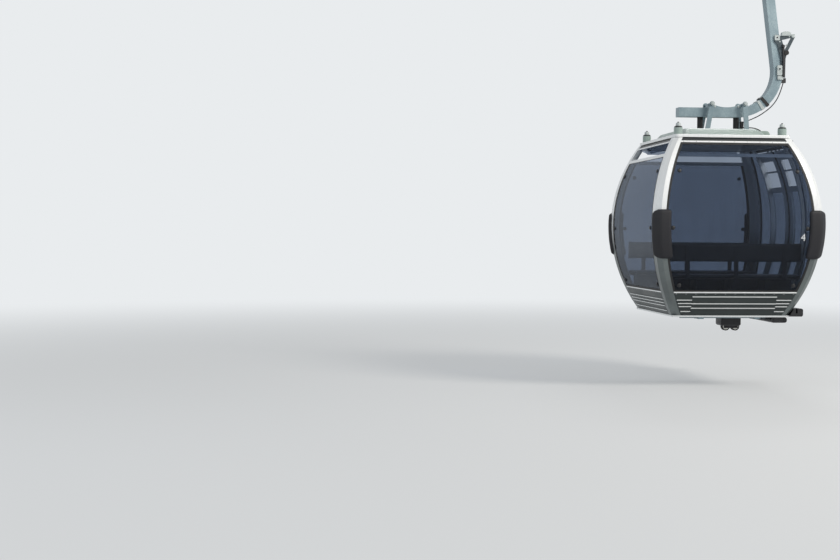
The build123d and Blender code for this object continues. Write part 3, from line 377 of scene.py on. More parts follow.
# Which finish each node of the CAD takes
NODE_FINISHES = (
    (CAST, ("grip_body", "moving_jaw")),
    (TURNED, ("grip_axle", "friction_plate", "grip_springs", "jaw_pin")),
    (NYLON, ("coupling_roller",)),
    (TYRE, ("wheel_front", "wheel_rear", "guide_rollers", "lever_roller")),
    (GALVANISED, ("hanger_arm", "saddle", "strap_brackets", "underframe")),
    (BLACK_PLASTIC, ("cable_ends", "guide_block", "door_casing", "door_rail_upper", "door_rail_lower",
                     "bench_frames")),
    (CABLE_JACKET, ("door_cable", "roof_cable")),
    (GASKET, ("arm_collar", "rubber_mounts", "stop_pads", "window_seals", "door_front_seal",
              "door_rear_seal")),
    (BUMPER_RUBBER, ("bumpers",)),
    (ALUMINIUM, ("roof_rim", "post_front_left", "post_front_right", "post_rear_left", "post_rear_right",
                 "head_rail", "transoms", "door_jambs", "door_front_frame", "door_rear_frame")),
    (BRIGHT_TRIM, ("sill",)),
    (HOOD_PAINT, ("roof_pan", "roof_hood", "roof_stops", "door_operator")),
    (CEILING_PAINT, ("ceiling",)),
    (HEADER_SHADE_PAINT, ("header_band",)),
    (DARK_STEEL, ("lever_bracket",)),
    (DARK_PANEL, ("skirts",)),
    (ACRYLIC, ("window_front", "window_rear", "window_left", "vent_left", "vent_rear", "side_lights",
               "door_front_glass", "door_rear_glass")),
    (VINYL, ("seats", "seat_backs")),
    (FLOORING, ("floor_pan",)),
)
for finish, names in NODE_FINISHES:
    for name in names:
        nodes[name].data.materials.clear()
        nodes[name].data.materials.append(finish)


# Mesh tools
def placed(name, data):
    """A new object in the scene."""
    item = bpy.data.objects.new(name, data)
    bpy.context.scene.collection.objects.link(item)
    return item


def plain_mesh(holder):
    """What an object's modifiers or text make, as a plain mesh; the object is then removed."""
    seen = bpy.context.evaluated_depsgraph_get()
    result = bpy.data.meshes.new_from_object(holder.evaluated_get(seen), depsgraph=seen)
    holder.modifiers.clear()
    bpy.data.objects.remove(holder)
    return result


def piece_from(name, mesh, finish, body):
    """A finished piece: its mesh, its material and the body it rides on."""
    piece = placed(name, mesh)
    mesh.materials.clear()
    mesh.materials.append(finish)
    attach(piece, body)
    return piece


def mesh_of(name, shape, smooth_angle=35):
    """A bmesh turned into a mesh with outward faces, smooth up to an angle."""
    bmesh.ops.remove_doubles(shape, verts=shape.verts, dist=1e-5)
    bmesh.ops.recalc_face_normals(shape, faces=shape.faces)
    mesh = bpy.data.meshes.new(name)
    shape.to_mesh(mesh)
    shape.free()
    mesh.shade_smooth()
    mesh.set_sharp_from_angle(angle=math.radians(smooth_angle))
    return mesh


def bridge(shape, rings, closed=True):
    """Faces between rings of vertices, one ring after the other."""
    for lower, upper in zip(rings, rings[1:]):
        count = len(lower)
        for i in range(count if closed else count - 1):
            j = (i + 1) % count
            shape.faces.new((lower[i], lower[j], upper[j], upper[i]))


def closed_tube(shape, rings):
    """Rings of vertices joined to a tube that is closed at both ends."""
    bridge(shape, rings)
    shape.faces.new(list(reversed(rings[0])))
    shape.faces.new(rings[-1])


def ring_of(shape, points):
    """Vertices at points."""
    return [shape.verts.new(p) for p in points]


def circle(sides):
    """Angles at even steps around a circle."""
    return [2 * math.pi * i / sides for i in range(sides)]


def turned(shape, profile, base, axis, sides=24):
    """A turned solid from a profile of (radius, height) pairs, standing on base along axis."""
    turn = Vector((0, 0, 1)).rotation_difference(Vector(axis)).to_matrix()
    rings = []
    for radius, height in profile:
        rings.append(ring_of(shape, [
            Vector(base) + turn @ Vector((radius * math.cos(a), radius * math.sin(a), height))
            for a in circle(sides)
        ]))
    closed_tube(shape, rings)


def rounded_ring(centre_x, centre_y, half_x, half_y, radius, z, steps=6):
    """The points of a rounded rectangle at height z."""
    points = []
    for sx, sy, start in ((1, 1, 0), (-1, 1, 90), (-1, -1, 180), (1, -1, 270)):
        for k in range(steps + 1):
            angle = math.radians(start + 90 * k / steps)
            points.append((
                centre_x + sx * (half_x - radius) + radius * math.cos(angle),
                centre_y + sy * (half_y - radius) + radius * math.sin(angle), z,
            ))
    return points


def moved_in(outline, step):
    """A closed outline, anticlockwise, moved to its inside by a step."""
    result = []
    count = len(outline)
    for i in range(count):
        before, here, after = (Vector(outline[(i + k) % count]) for k in (-1, 0, 1))
        first = (here - before).normalized()
        second = (after - here).normalized()
        inward = Vector((-first.y - second.y, first.x + second.x))
        # The lower limit keeps a very sharp corner from running off
        square = max(inward.length_squared / 2, 0.2)
        result.append(tuple(here + inward * (step / square)))
    return result


def slab(shape, outline, low_y, high_y, ease=0.002):
    """A plate cut to an outline of (X, Z) points, standing in the XZ plane, with eased edges."""
    area = sum(a[0] * b[1] - b[0] * a[1] for a, b in zip(outline, outline[1:] + outline[:1]))
    outline = outline if area > 0 else outline[::-1]
    small = moved_in(outline, ease)
    rings = [
        ring_of(shape, [(x, y, z) for x, z in points])
        for points, y in (
            (small, low_y), (outline, low_y + ease), (outline, high_y - ease), (small, high_y),
        )
    ]
    bridge(shape, rings)
    shape.faces.new(rings[0])
    shape.faces.new(list(reversed(rings[-1])))


def rounded_outline(low, high, radius, steps=5):
    """A rounded rectangle of (X, Z) points between two corners."""
    middle_x = (low[0] + high[0]) / 2
    middle_z = (low[1] + high[1]) / 2
    half_x = (high[0] - low[0]) / 2
    half_z = (high[1] - low[1]) / 2
    return [(x, z) for x, z, level in rounded_ring(middle_x, middle_z, half_x, half_z, radius, 0, steps)]


# Trees of Geometry Nodes for what repeats: heads of bolts and rivets on points with a direction
# Shares of the head's radius: the washer's radius, and the nut's upper radius. Shares of its height: the
# washer's height, and how far the nut stands up, as the lower half of the washer is in the part
WASHER_SPREAD = 1.3
NUT_TAPER = 0.86
WASHER_FLATNESS = 0.5
NUT_RISE = 0.25
# Radius and height of each kind of head
LARGE_NUT = (0.0200, 0.0120)
FRAME_BOLT = (0.0120, 0.0080)
CAP_BOLT = (0.0100, 0.0080)
SMALL_SCREW = (0.0080, 0.0050)
FLANGE_SCREW = (0.0070, 0.0040)
RAIL_SCREW = (0.0060, 0.0030)
WALL_RIVET = (0.0055, 0.0030)


def heads_tree(name, hexagonal):
    """Instances of one fastener head on points; their attribute named facing gives the direction."""
    tree = bpy.data.node_groups.new(name, "GeometryNodeTree")
    for input_name, kind in (
        ("Places", "Geometry"), ("Head radius", "Float"), ("Head height", "Float"), ("Finish", "Material"),
    ):
        tree.interface.new_socket(name=input_name, in_out="INPUT", socket_type="NodeSocket" + kind)
    tree.interface.new_socket(name="Heads", in_out="OUTPUT", socket_type="NodeSocketGeometry")
    given = add(tree, "NodeGroupInput").outputs
    facing = add(tree, "GeometryNodeInputNamedAttribute", {"Name": "facing"}, data_type="FLOAT_VECTOR")
    turn = add(tree, "FunctionNodeAlignRotationToVector", None, {"Vector": facing.outputs[0]}, axis="Z")
    if hexagonal:
        washer_radius, upper_radius, rise = (
            add(tree, "ShaderNodeMath", {1: share}, {0: given[size]}, operation="MULTIPLY").outputs[0]
            for size, share in (
                ("Head radius", WASHER_SPREAD), ("Head radius", NUT_TAPER), ("Head height", NUT_RISE),
            )
        )
        washer = add(
            tree, "GeometryNodeMeshCylinder", {"Vertices": 20},
            {"Radius": washer_radius, "Depth": given["Head height"]},
        )
        nut = add(
            tree, "GeometryNodeMeshCone", {"Vertices": 6},
            {
                "Radius Bottom": given["Head radius"], "Radius Top": upper_radius,
                "Depth": given["Head height"],
            },
        )
        flat = add(
            tree, "GeometryNodeTransform", {"Scale": (1, 1, WASHER_FLATNESS)},
            {"Geometry": washer.outputs["Mesh"]},
        )
        lift = add(tree, "ShaderNodeCombineXYZ", None, {"Z": rise})
        seated = add(
            tree, "GeometryNodeTransform", None,
            {"Geometry": nut.outputs["Mesh"], "Translation": lift.outputs[0]},
        )
        head = add(tree, "GeometryNodeJoinGeometry")
        tree.links.new(seated.outputs[0], head.inputs[0])
        tree.links.new(flat.outputs[0], head.inputs[0])
    else:
        ball = add(tree, "GeometryNodeMeshUVSphere", {"Segments": 12, "Rings": 6, "Radius": 1.0})
        size = add(
            tree, "ShaderNodeCombineXYZ", None,
            {"X": given["Head radius"], "Y": given["Head radius"], "Z": given["Head height"]},
        )
        dome = add(
            tree, "GeometryNodeTransform", None,
            {"Geometry": ball.outputs["Mesh"], "Scale": size.outputs[0]},
        )
        head = add(tree, "GeometryNodeSetShadeSmooth", None, {"Geometry": dome.outputs[0]})
    spread = add(
        tree, "GeometryNodeInstanceOnPoints", None,
        {"Points": given["Places"], "Instance": head.outputs[0], "Rotation": turn.outputs[0]},
    )
    real = add(tree, "GeometryNodeRealizeInstances", None, {"Geometry": spread.outputs[0]})
    painted_heads = add(
        tree, "GeometryNodeSetMaterial", None,
        {"Geometry": real.outputs[0], "Material": given["Finish"]},
    )
    end = add(tree, "NodeGroupOutput")
    tree.links.new(painted_heads.outputs[0], end.inputs[0])
    return tree


BOLT_HEADS = heads_tree("bolt heads with washers", True)
RIVET_HEADS = heads_tree("domed rivet heads", False)


def fasteners(name, tree, head, places, finish, body):
    """Heads on places, a list of point and direction pairs, as one plain mesh on a body."""
    mesh = bpy.data.meshes.new(name)
    mesh.from_pydata([tuple(spot) for spot, facing in places], [], [])
    directions = mesh.attributes.new("facing", "FLOAT_VECTOR", "POINT")
    directions.data.foreach_set("vector", [c for spot, facing in places for c in facing])
    holder = placed(name + "_places", mesh)
    modifier = holder.modifiers.new("heads", "NODES")
    modifier.node_group = tree
    sizes = {"Head radius": head[0], "Head height": head[1], "Finish": finish}
    for item in tree.interface.items_tree:
        if item.name in sizes:
            modifier[item.identifier] = sizes[item.name]
    result = plain_mesh(holder)
    result.name = name
    return piece_from(name, result, finish, body)


# Knobs that hold the window panes: a domed cap on a wide washer, on the outside of each pane
PANE_FIXING_ROWS = (-2.254, -2.896, -3.540)
PANE_FIXING_MARGIN = 0.083
# A pane's face lies this far behind the wall's
PANE_PROUD = -0.004
# Profiles here and below are (radius, height) pairs
KNOB_PROFILE = (
    (0.021, 0), (0.024, 0.002), (0.024, 0.006), (0.021, 0.010), (0.013, 0.014), (0.004, 0.0155),
)
shape = bmesh.new()
for wall in ("front", "rear", "left"):
    for z in PANE_FIXING_ROWS:
        for side in (-1, 1):
            spot, out = wall_spot(wall, side * (clear_half(wall, z) - PANE_FIXING_MARGIN), z, PANE_PROUD)
            turned(shape, KNOB_PROFILE, spot, out)
piece_from("pane_knobs", mesh_of("pane_knobs", shape), BLACK_PLASTIC, "carrier")


# Rivets along the head rail and the skirts
HEAD_RAIL_RIVETS = {"z": -1.9150, "margin": 0.030, "spacing": 0.145, "proud": 0.0}
SKIRT_RIVETS = {"z": SKIRT_TOP_Z - 0.020, "margin": 0.025, "spacing": 0.110, "proud": 0.001}


def row_on_wall(wall, z, margin, spacing, proud):
    """Places along a wall at one height."""
    half = clear_half(wall, z) - margin
    count = max(2, round(2 * half / spacing) + 1)
    return [wall_spot(wall, along, z, proud) for along in evenly(-half, half, count)]


rivet_places = []
for wall in ("front", "rear", "left"):
    rivet_places += row_on_wall(wall, **HEAD_RAIL_RIVETS)
    rivet_places += row_on_wall(wall, **SKIRT_RIVETS)
fasteners("wall_rivets", RIVET_HEADS, WALL_RIVET, rivet_places, TURNED, "carrier")


# Bright trim over the ribs of the skirts, and the bead along each skirt's top edge
def wall_bead(shape, wall, z, height, proud, span, steps=20):
    """A rounded bar along a wall at one height, between two places along the wall."""
    # The section: a share of the bar's height, and how far a point stands out from the wall
    section = (
        (-0.5, -0.004), (-0.5, 0.6 * proud), (-0.3, proud),
        (0.3, proud), (0.5, 0.6 * proud), (0.5, -0.004),
    )
    closed_tube(shape, [
        ring_of(shape, [wall_spot(wall, along, z + share * height, out)[0] for share, out in section])
        for along in evenly(*span, steps + 1)
    ])


# The end walls' skirts have a raised middle with its own ribs
RAISED_HALF = 0.490
RAISED_RIBS = (-3.673, -3.753, -3.805)
SIDE_RIBS = (-3.711, -3.750, -3.786, -3.843)
TRIM_HEIGHT = 0.011
TRIM_PROUD = 0.0095
TRIM_END_GAP = 0.012
RAISED_TRIM_PROUD = TRIM_PROUD + 0.001
TOP_BEAD_Z = SKIRT_TOP_Z - 0.003
TOP_BEAD_HEIGHT = 0.014
TOP_BEAD_PROUD = 0.006
TOP_BEAD_END_GAP = 0.002
shape = bmesh.new()
for wall in ("front", "rear", "left"):
    half = clear_half(wall, TOP_BEAD_Z) - TOP_BEAD_END_GAP
    wall_bead(shape, wall, TOP_BEAD_Z, TOP_BEAD_HEIGHT, TOP_BEAD_PROUD, (-half, half))
    for z in SIDE_RIBS:
        half = clear_half(wall, z) - TRIM_END_GAP
        if wall == "left":
            wall_bead(shape, wall, z, TRIM_HEIGHT, TRIM_PROUD, (-half, half))
        else:
            for span in ((-half, -RAISED_HALF), (RAISED_HALF, half)):
                wall_bead(shape, wall, z, TRIM_HEIGHT, TRIM_PROUD, span, steps=6)
    if wall != "left":
        for z in RAISED_RIBS:
            wall_bead(shape, wall, z, TRIM_HEIGHT, RAISED_TRIM_PROUD, (-RAISED_HALF, RAISED_HALF))
piece_from("skirt_trim", mesh_of("skirt_trim", shape), BRIGHT_TRIM, "carrier")


# Bumpers: one rubber moulding around each cut corner, swelling from the walls with soft edges
BUMPER_LOW_Z = -3.240
BUMPER_HIGH_Z = -2.690
BUMPER_PROUD = 0.0335
# How far the moulding runs along the end wall, across the cut and along the side wall
BUMPER_END_RUN = 0.172 - CORNER_CUT
BUMPER_CUT_RUN = CORNER_CUT * math.sqrt(2)
BUMPER_SIDE_RUN = 0.095 - CORNER_CUT
BUMPER_END_ROUND = 0.040
BUMPER_SIDE_ROUND = 0.100
BUMPER_EDGE = 0.030
# The moulding stands out this share less at its upper and lower ends, and reaches its full depth at a
# distance from them
BUMPER_CROWN = 0.16
BUMPER_CROWN_DEPTH = 0.20
# The outward direction turns over this run on each side of an edge of the cut
BUMPER_TURN_RUN = 0.018
BUMPER_ROWS = 36
BUMPER_COLUMNS = 30


def swell(distance, radius):
    """How far a moulding with an edge of this radius has risen at a distance from its edge."""
    if distance >= radius:
        return 1.0
    return math.sqrt(max(0.0, 1 - (1 - distance / radius) ** 2))


def round_off(depth, radius):
    """How far a rounded corner has moved in, at a depth below its upper edge."""
    if depth >= radius:
        return 0.0
    return radius - math.sqrt(max(0.0, radius ** 2 - (radius - depth) ** 2))


def closer_at_ends(count):
    """Shares from 0 to 1 whose steps are shorter towards both ends."""
    return [(1 - math.cos(math.pi * i / count)) / 2 for i in range(count + 1)]


def around_corner(run, z):
    """A point on the post around its cut corner, at a run from the bumper's end on the end wall,
    and the outward direction there, which turns over a short length at each edge."""
    corner_x = half_at(SIDE_WALL, z)
    corner_y = half_at(END_WALL, z)
    first = BUMPER_END_RUN
    second = BUMPER_END_RUN + BUMPER_CUT_RUN
    if run < first:
        x, y = corner_x - CORNER_CUT - (first - run), corner_y
    elif run < second:
        share = (run - first) / BUMPER_CUT_RUN
        x, y = corner_x - CORNER_CUT * (1 - share), corner_y - CORNER_CUT * share
    else:
        x, y = corner_x, corner_y - CORNER_CUT - (run - second)
    turns = [(run - edge + BUMPER_TURN_RUN) / (2 * BUMPER_TURN_RUN) for edge in (first, second)]
    angle = math.radians(90 - 45 * sum(min(1.0, max(0.0, turn)) for turn in turns))
    return x, y, math.cos(angle), math.sin(angle)


def bumper_row(z, side_x, side_y, lift):
    """Points of one height around a corner, from the end wall to the side wall; lift is 1 for the
    moulding's outer face and 0 for its back."""
    depth = min(z - BUMPER_LOW_Z, BUMPER_HIGH_Z - z)
    start = round_off(depth, BUMPER_END_ROUND)
    stop = BUMPER_END_RUN + BUMPER_CUT_RUN + BUMPER_SIDE_RUN - round_off(depth, BUMPER_SIDE_ROUND)
    points = []
    for share in closer_at_ends(BUMPER_COLUMNS):
        run = start + (stop - start) * share
        rise = swell(min(run - start, stop - run), BUMPER_EDGE) * swell(depth, BUMPER_EDGE)
        crown = 1 - BUMPER_CROWN * (1 - swell(depth, BUMPER_CROWN_DEPTH))
        x, y, out_x, out_y = around_corner(run, z)
        out = lift * BUMPER_PROUD * rise * crown
        points.append((CABIN_X + side_x * (x + out_x * out), side_y * (y + out_y * out), z))
    return points


shape = bmesh.new()
bumper_height = BUMPER_HIGH_Z - BUMPER_LOW_Z
bumper_levels = [BUMPER_LOW_Z + bumper_height * share for share in closer_at_ends(BUMPER_ROWS)]
for side_x in (-1, 1):
    for side_y in (-1, 1):
        for lift in (1.0, 0.0):
            rows = [ring_of(shape, bumper_row(z, side_x, side_y, lift)) for z in bumper_levels]
            bridge(shape, rows, closed=False)
bumper_mesh = mesh_of("bumper_mouldings", shape, smooth_angle=60)
bumpers = piece_from("bumper_mouldings", bumper_mesh, BUMPER_RUBBER, "carrier")
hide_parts("bumpers")

# Roof hood: a glass-fibre moulding with a flange, rounded shoulders and a crowned top
HOOD_X = -0.150
FLANGE_TOP_Z = -1.8150
# Each ring: Z, half length along X, half length along Y, radius of its corners
HOOD_RINGS = (
    (-1.8215, 0.500, 0.700, 0.045), (FLANGE_TOP_Z, 0.500, 0.700, 0.045), (-1.8140, 0.478, 0.678, 0.045),
    (-1.8080, 0.472, 0.670, 0.045), (-1.7600, 0.446, 0.592, 0.060), (-1.7480, 0.436, 0.572, 0.070),
    (-1.7410, 0.418, 0.550, 0.080), (-1.7385, 0.380, 0.500, 0.080), (-1.7380, 0.200, 0.250, 0.080),
)
shape = bmesh.new()
closed_tube(shape, [
    ring_of(shape, rounded_ring(HOOD_X, 0, half_x, half_y, radius, z))
    for z, half_x, half_y, radius in HOOD_RINGS
])
hood_mesh = mesh_of("hood_moulding", shape, smooth_angle=40)
hood = piece_from("hood_moulding", hood_mesh, HOOD_PAINT, "carrier")
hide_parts("roof_hood")

# Screws of the flange: how far each row stands from the hood's middle, its reach and its number
SIDE_ROW_X = 0.488
END_ROW_Y = 0.688
SIDE_ROW = (-0.600, 0.600, 7)
END_ROW = (-0.420, 0.420, 5)
up = Vector((0, 0, 1))
flange_places = []
for side in (-1, 1):
    side_x = HOOD_X + side * SIDE_ROW_X
    flange_places += [(Vector((side_x, y, FLANGE_TOP_Z)), up) for y in evenly(*SIDE_ROW)]
    flange_places += [(Vector((HOOD_X + x, side * END_ROW_Y, FLANGE_TOP_Z)), up) for x in evenly(*END_ROW)]
fasteners("hood_screws", RIVET_HEADS, FLANGE_SCREW, flange_places, TURNED, "carrier")

# Caps on the roof stops: a pale moulded cap over the rubber ring, and a dark bolt on its top
CAP_PROFILE = (
    (0.0305, 0), (0.0310, 0.001), (0.0310, 0.012), (0.0285, 0.015), (0.0280, 0.031), (0.0240, 0.0385),
    (0.0150, 0.0410), (0.0060, 0.0413),
)
STOP_X = 0.610
STOP_Y = 0.705
STOP_PAD_TOP_Z = -1.7345
CAP_HEIGHT = 0.042
shape = bmesh.new()
cap_bolts = []
for side_x in (-1, 1):
    for side_y in (-1, 1):
        base = Vector((CABIN_X + side_x * STOP_X, side_y * STOP_Y, STOP_PAD_TOP_Z))
        turned(shape, CAP_PROFILE, base, up)
        cap_bolts.append((base + up * CAP_HEIGHT, up))
piece_from("stop_caps", mesh_of("stop_caps", shape), ZINC_PLATED, "carrier")
fasteners("stop_bolts", BOLT_HEADS, CAP_BOLT, cap_bolts, BLACK_PLASTIC, "carrier")


# Benches: padded seat and back cushions, blown up by a cloth simulation and then sewn in sections
CUSHION_SECTIONS = 4
CUSHION_VOXEL = 0.0095
CUSHION_SWELL = 0.010
CUSHION_START = 0.006
# Rounding of the blank's edges, as a share of its thickness
CUSHION_ROUNDING = 0.36
CUSHION_PRESSURE = 4
CUSHION_FRAMES = 20
CHANNEL_WIDTH = 0.009
CHANNEL_DEPTH = 0.007
SEAT_FRONT_Y = 0.560
BACK_FRONT_Y = 0.946


def pad_blank(low, high, thickness_axis):
    """A closed box with rounded edges, a little smaller than the cushion that it swells into."""
    shape = bmesh.new()
    bmesh.ops.create_cube(shape, size=1.0)
    middle = (low + high) / 2
    size = high - low - Vector((CUSHION_START, CUSHION_START, CUSHION_START)) * 2
    for vertex in shape.verts:
        vertex.co = middle + Vector(c * s for c, s in zip(vertex.co, size))
    rounding = CUSHION_ROUNDING * size[thickness_axis]
    bmesh.ops.bevel(
        shape, geom=shape.edges[:], offset=rounding, segments=4, profile=0.5, affect="EDGES",
    )
    mesh = bpy.data.meshes.new("pad_blank")
    shape.to_mesh(mesh)
    shape.free()
    return mesh


def baked(mesh, kind, **settings):
    """A mesh passed through one modifier and made plain again."""
    holder = placed("holder", mesh)
    modifier = holder.modifiers.new(kind.lower(), kind)
    for key, value in settings.items():
        setattr(modifier, key, value)
    return plain_mesh(holder)


def blown_up(mesh):
    """The mesh after a short cloth simulation with air pressure and no gravity."""
    holder = placed("holder", mesh)
    cloth = holder.modifiers.new("cloth", "CLOTH")
    cloth.settings.use_pressure = True
    cloth.settings.uniform_pressure_force = CUSHION_PRESSURE
    cloth.settings.effector_weights.gravity = 0
    cloth.point_cache.frame_start = 1
    cloth.point_cache.frame_end = CUSHION_FRAMES
    for step in range(1, CUSHION_FRAMES + 1):
        bpy.context.scene.frame_set(step)
    result = plain_mesh(holder)
    bpy.context.scene.frame_set(1)
    return result


def cushion_mesh(name, low, high, thickness_axis, front):
    """A crowned cushion inside a box, thin along one axis and sewn across on its front side."""
    mesh = baked(pad_blank(low, high, thickness_axis), "REMESH", mode="VOXEL", voxel_size=CUSHION_VOXEL)
    rest = [vertex.co.copy() for vertex in mesh.vertices]
    swollen = blown_up(mesh)
    for vertex, start in zip(swollen.vertices, rest):
        step = vertex.co - start
        vertex.co = start + step * min(1.0, CUSHION_SWELL / max(step.length, 1e-6))
    mesh = swollen
    mesh = baked(mesh, "SUBSURF", levels=1, render_levels=1)
    section = (high.x - low.x) / CUSHION_SECTIONS
    for vertex in mesh.vertices:
        place = vertex.co
        across = (place.x - low.x) / section
        seam = 0 < round(across) < CUSHION_SECTIONS
        from_seam = abs(across - round(across)) * section if seam else 1.0
        depth = CHANNEL_DEPTH * math.exp(-((from_seam / CHANNEL_WIDTH) ** 2))
        middle = (low[thickness_axis] + high[thickness_axis]) / 2
        on_front = (place[thickness_axis] - middle) * front > 0
        place[thickness_axis] -= front * depth if on_front else 0
        for axis in range(3):
            place[axis] = min(max(place[axis], low[axis]), high[axis])
    mesh.name = name
    mesh.shade_smooth()
    return mesh


# Each cushion: the node it stands for, its front edge, the axis it is thin along and its sewn side
for kind, node, low_y, thickness_axis, front in (
    ("seat", "seats", SEAT_FRONT_Y, 2, 1), ("back", "seat_backs", BACK_FRONT_Y, 1, -1),
):
    box_low, box_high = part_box(node)
    low = Vector((box_low.x, low_y, box_low.z))
    rear_mesh = cushion_mesh(f"{kind}_rear", low, box_high, thickness_axis, front)
    front_mesh = rear_mesh.copy()
    front_mesh.transform(Matrix.Scale(-1, 4, (0, 1, 0)))
    front_mesh.flip_normals()
    for end_name, mesh in (("rear", rear_mesh), ("front", front_mesh)):
        cushion = piece_from(f"{kind}_cushion_{end_name}", mesh, VINYL, "carrier")
        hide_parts(node)

# Springs of the grip: wound wire with closed ends, drawn at one length; on the grip they shorten as the
# lever comes down
SPRING_LOW_Z = -0.015
SPRING_HIGH_Z = 0.094
# Columns: X of a spring, and the share of its height that the lever leaves it when the jaw is open
SPRING_PLACES = ((0.215, 0.51), (0.295, 0.27))
SPRING_TURNS = 5
STEPS_PER_TURN = 28
WIRE_RADIUS = 0.0048
WIRE_SIDES = 12
COIL_RADIUS = 0.0230
# Share of the height that the first turn climbs, and the last
END_RISE = 0.09


def climb_at(turn):
    """How far up the spring its wire has climbed: slowly in the closed first and last turns."""
    if turn < 1:
        return turn * END_RISE
    if turn > SPRING_TURNS - 1:
        return 1 - (SPRING_TURNS - turn) * END_RISE
    return END_RISE + (1 - 2 * END_RISE) * (turn - 1) / (SPRING_TURNS - 2)


wire_low_z = SPRING_LOW_Z + WIRE_RADIUS
wire_climb = SPRING_HIGH_Z - SPRING_LOW_Z - 2 * WIRE_RADIUS
for centre_x, kept in SPRING_PLACES:
    shape = bmesh.new()
    rings = []
    for k in range(SPRING_TURNS * STEPS_PER_TURN + 1):
        turn = k / STEPS_PER_TURN
        angle = 2 * math.pi * turn
        out = Vector((math.cos(angle), math.sin(angle), 0))
        middle = Vector((centre_x, 0, wire_low_z + climb_at(turn) * wire_climb)) + out * COIL_RADIUS
        rings.append(ring_of(shape, [
            middle + (out * math.cos(a) + up * math.sin(a)) * WIRE_RADIUS for a in circle(WIRE_SIDES)
        ]))
    closed_tube(shape, rings)
    name = f"wound_spring_{round(centre_x * 1000)}"
    spring_mesh = mesh_of(name, shape, smooth_angle=60)
    spring = piece_from(name, spring_mesh, TURNED, "grip")
    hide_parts("grip_springs")
    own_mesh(spring)


# Lever gear on the outer side of the arm, in front of its bracket
BRACKET_FACE_Y = -0.084
AHEAD = Vector((0, -1, 0))
LEVER_ARM = [
    (0.700, -0.592), (0.708, -0.552), (0.735, -0.540), (0.792, -0.536), (0.822, -0.552), (0.826, -0.590),
]
LEVER_ROD = [
    (0.716, -0.690), (0.742, -0.696), (0.752, -0.860), (0.754, -1.078), (0.730, -1.078), (0.726, -0.860),
]
UPPER_PAD = rounded_outline((0.624, -0.646), (0.688, -0.580), 0.010)
CABLE_HOLDER = rounded_outline((0.662, -1.062), (0.726, -0.940), 0.014)
CABLE_CLAMP = rounded_outline((0.668, -1.112), (0.738, -1.068), 0.006)
# Plates: outline of (X, Z) points, Y of the outer face, Y of the inner face, easing of the edges
PALE_PLATES = (
    (UPPER_PAD, BRACKET_FACE_Y - 0.008, BRACKET_FACE_Y, 0.002), (LEVER_ARM, -0.104, -0.062, 0.006),
    (CABLE_HOLDER, -0.092, -0.069, 0.002), (CABLE_CLAMP, -0.088, -0.069, 0.002),
)
DARK_PLATES = ((LEVER_ROD, -0.100, BRACKET_FACE_Y, 0.003),)
# Turned parts: profile, and the middle of the base
PALE_TURNINGS = (
    (((0.019, 0), (0.022, 0.002), (0.022, 0.014), (0.018, 0.018)), (0.850, -0.078, -0.590)),
    (((0.022, 0), (0.024, 0.002), (0.024, 0.005), (0.013, 0.006)), (0.692, -0.091, -0.984)),
)
DARK_TURNINGS = (
    (((0.014, 0), (0.017, 0.002), (0.017, 0.018), (0.013, 0.021)), (0.727, -0.098, -0.716)),
    (((0.009, 0), (0.009, 0.003), (0.007, 0.0035)), (0.656, -0.0915, -0.612)),
    (((0.011, 0), (0.011, 0.003), (0.009, 0.0035)), (0.692, -0.0965, -0.984)),
)
for name, plates, turnings, finish, slot in (
    ("lever_fittings", PALE_PLATES, PALE_TURNINGS, ZINC_PLATED, "galvanised_steel"),
    ("lever_linkage", DARK_PLATES, DARK_TURNINGS, BLACK_PLASTIC, "black_plastic"),
):
    shape = bmesh.new()
    for outline, outer_y, inner_y, ease in plates:
        slab(shape, outline, outer_y, inner_y, ease)
    for profile, base in turnings:
        turned(shape, profile, base, AHEAD)
    piece_from(name, mesh_of(name, shape), finish, "carrier")


# Pale clamp band beside the dark collar on the arm's bend
BEND_CENTRE = Vector((0.182, 0, -1.010))
BEND_RADIUS = 0.500
ARM_HALF_WIDTH = 0.055
ARM_HALF_DEPTH = 0.068
BAND_ANGLES = (52.5, 56.5)
BAND_PROUD = 0.006
BAND_CORNER = 0.008
half_width = ARM_HALF_WIDTH + BAND_PROUD
half_depth = ARM_HALF_DEPTH + BAND_PROUD
band_section = rounded_ring(0, 0, half_width, half_depth, BAND_CORNER, 0, 3)
shape = bmesh.new()
rings = []
for angle in evenly(*BAND_ANGLES, 5):
    along = Vector((math.cos(math.radians(angle)), 0, -math.sin(math.radians(angle))))
    rings.append(ring_of(shape, [
        BEND_CENTRE + along * (BEND_RADIUS + across) + Vector((0, y, 0)) for across, y, level in band_section
    ]))
closed_tube(shape, rings)
piece_from("arm_band", mesh_of("arm_band", shape), ZINC_PLATED, "carrier")


# Bolts with washers where the real parts are bolted, as (X, Z) places and the Y of the part's face
STRAP_PINS = ((-0.141, -1.412), (0.259, -1.412))
STRAP_PIN_END_Y = 0.155
SADDLE_BOLTS = ((-0.085, -1.438), (0.205, -1.438))
SADDLE_FACE_Y = 0.052
SPRING_SEAT_BOLTS = ((0.300, -0.062), (0.360, -0.040), (0.440, -0.062))
SPRING_SEAT_FACE_Y = 0.050
GRIP_BODY_BOLTS = ((0.122, -0.040), (0.122, 0.180), (0.208, 0.180), (0.218, -0.030))
GRIP_BODY_FACE_Y = 0.066
CASING_SCREWS = ((0.420, -3.930), (0.420, -3.958), (0.540, -3.930), (0.540, -3.958))
CASING_END_Y = 0.790
BRACKET_SCREWS = ((0.742, -1.050), (0.690, -0.660), (0.806, -0.594), (0.770, -0.700))
# The straps' feet lie on the hood, with a pair of bolts through each
STRAP_FEET_X = (-0.198, 0.284)
FOOT_BOLT_OFFSETS = (-0.034, 0.034)
FOOT_BOLT_Y = 0.112
FOOT_TOP_Z = -1.7215
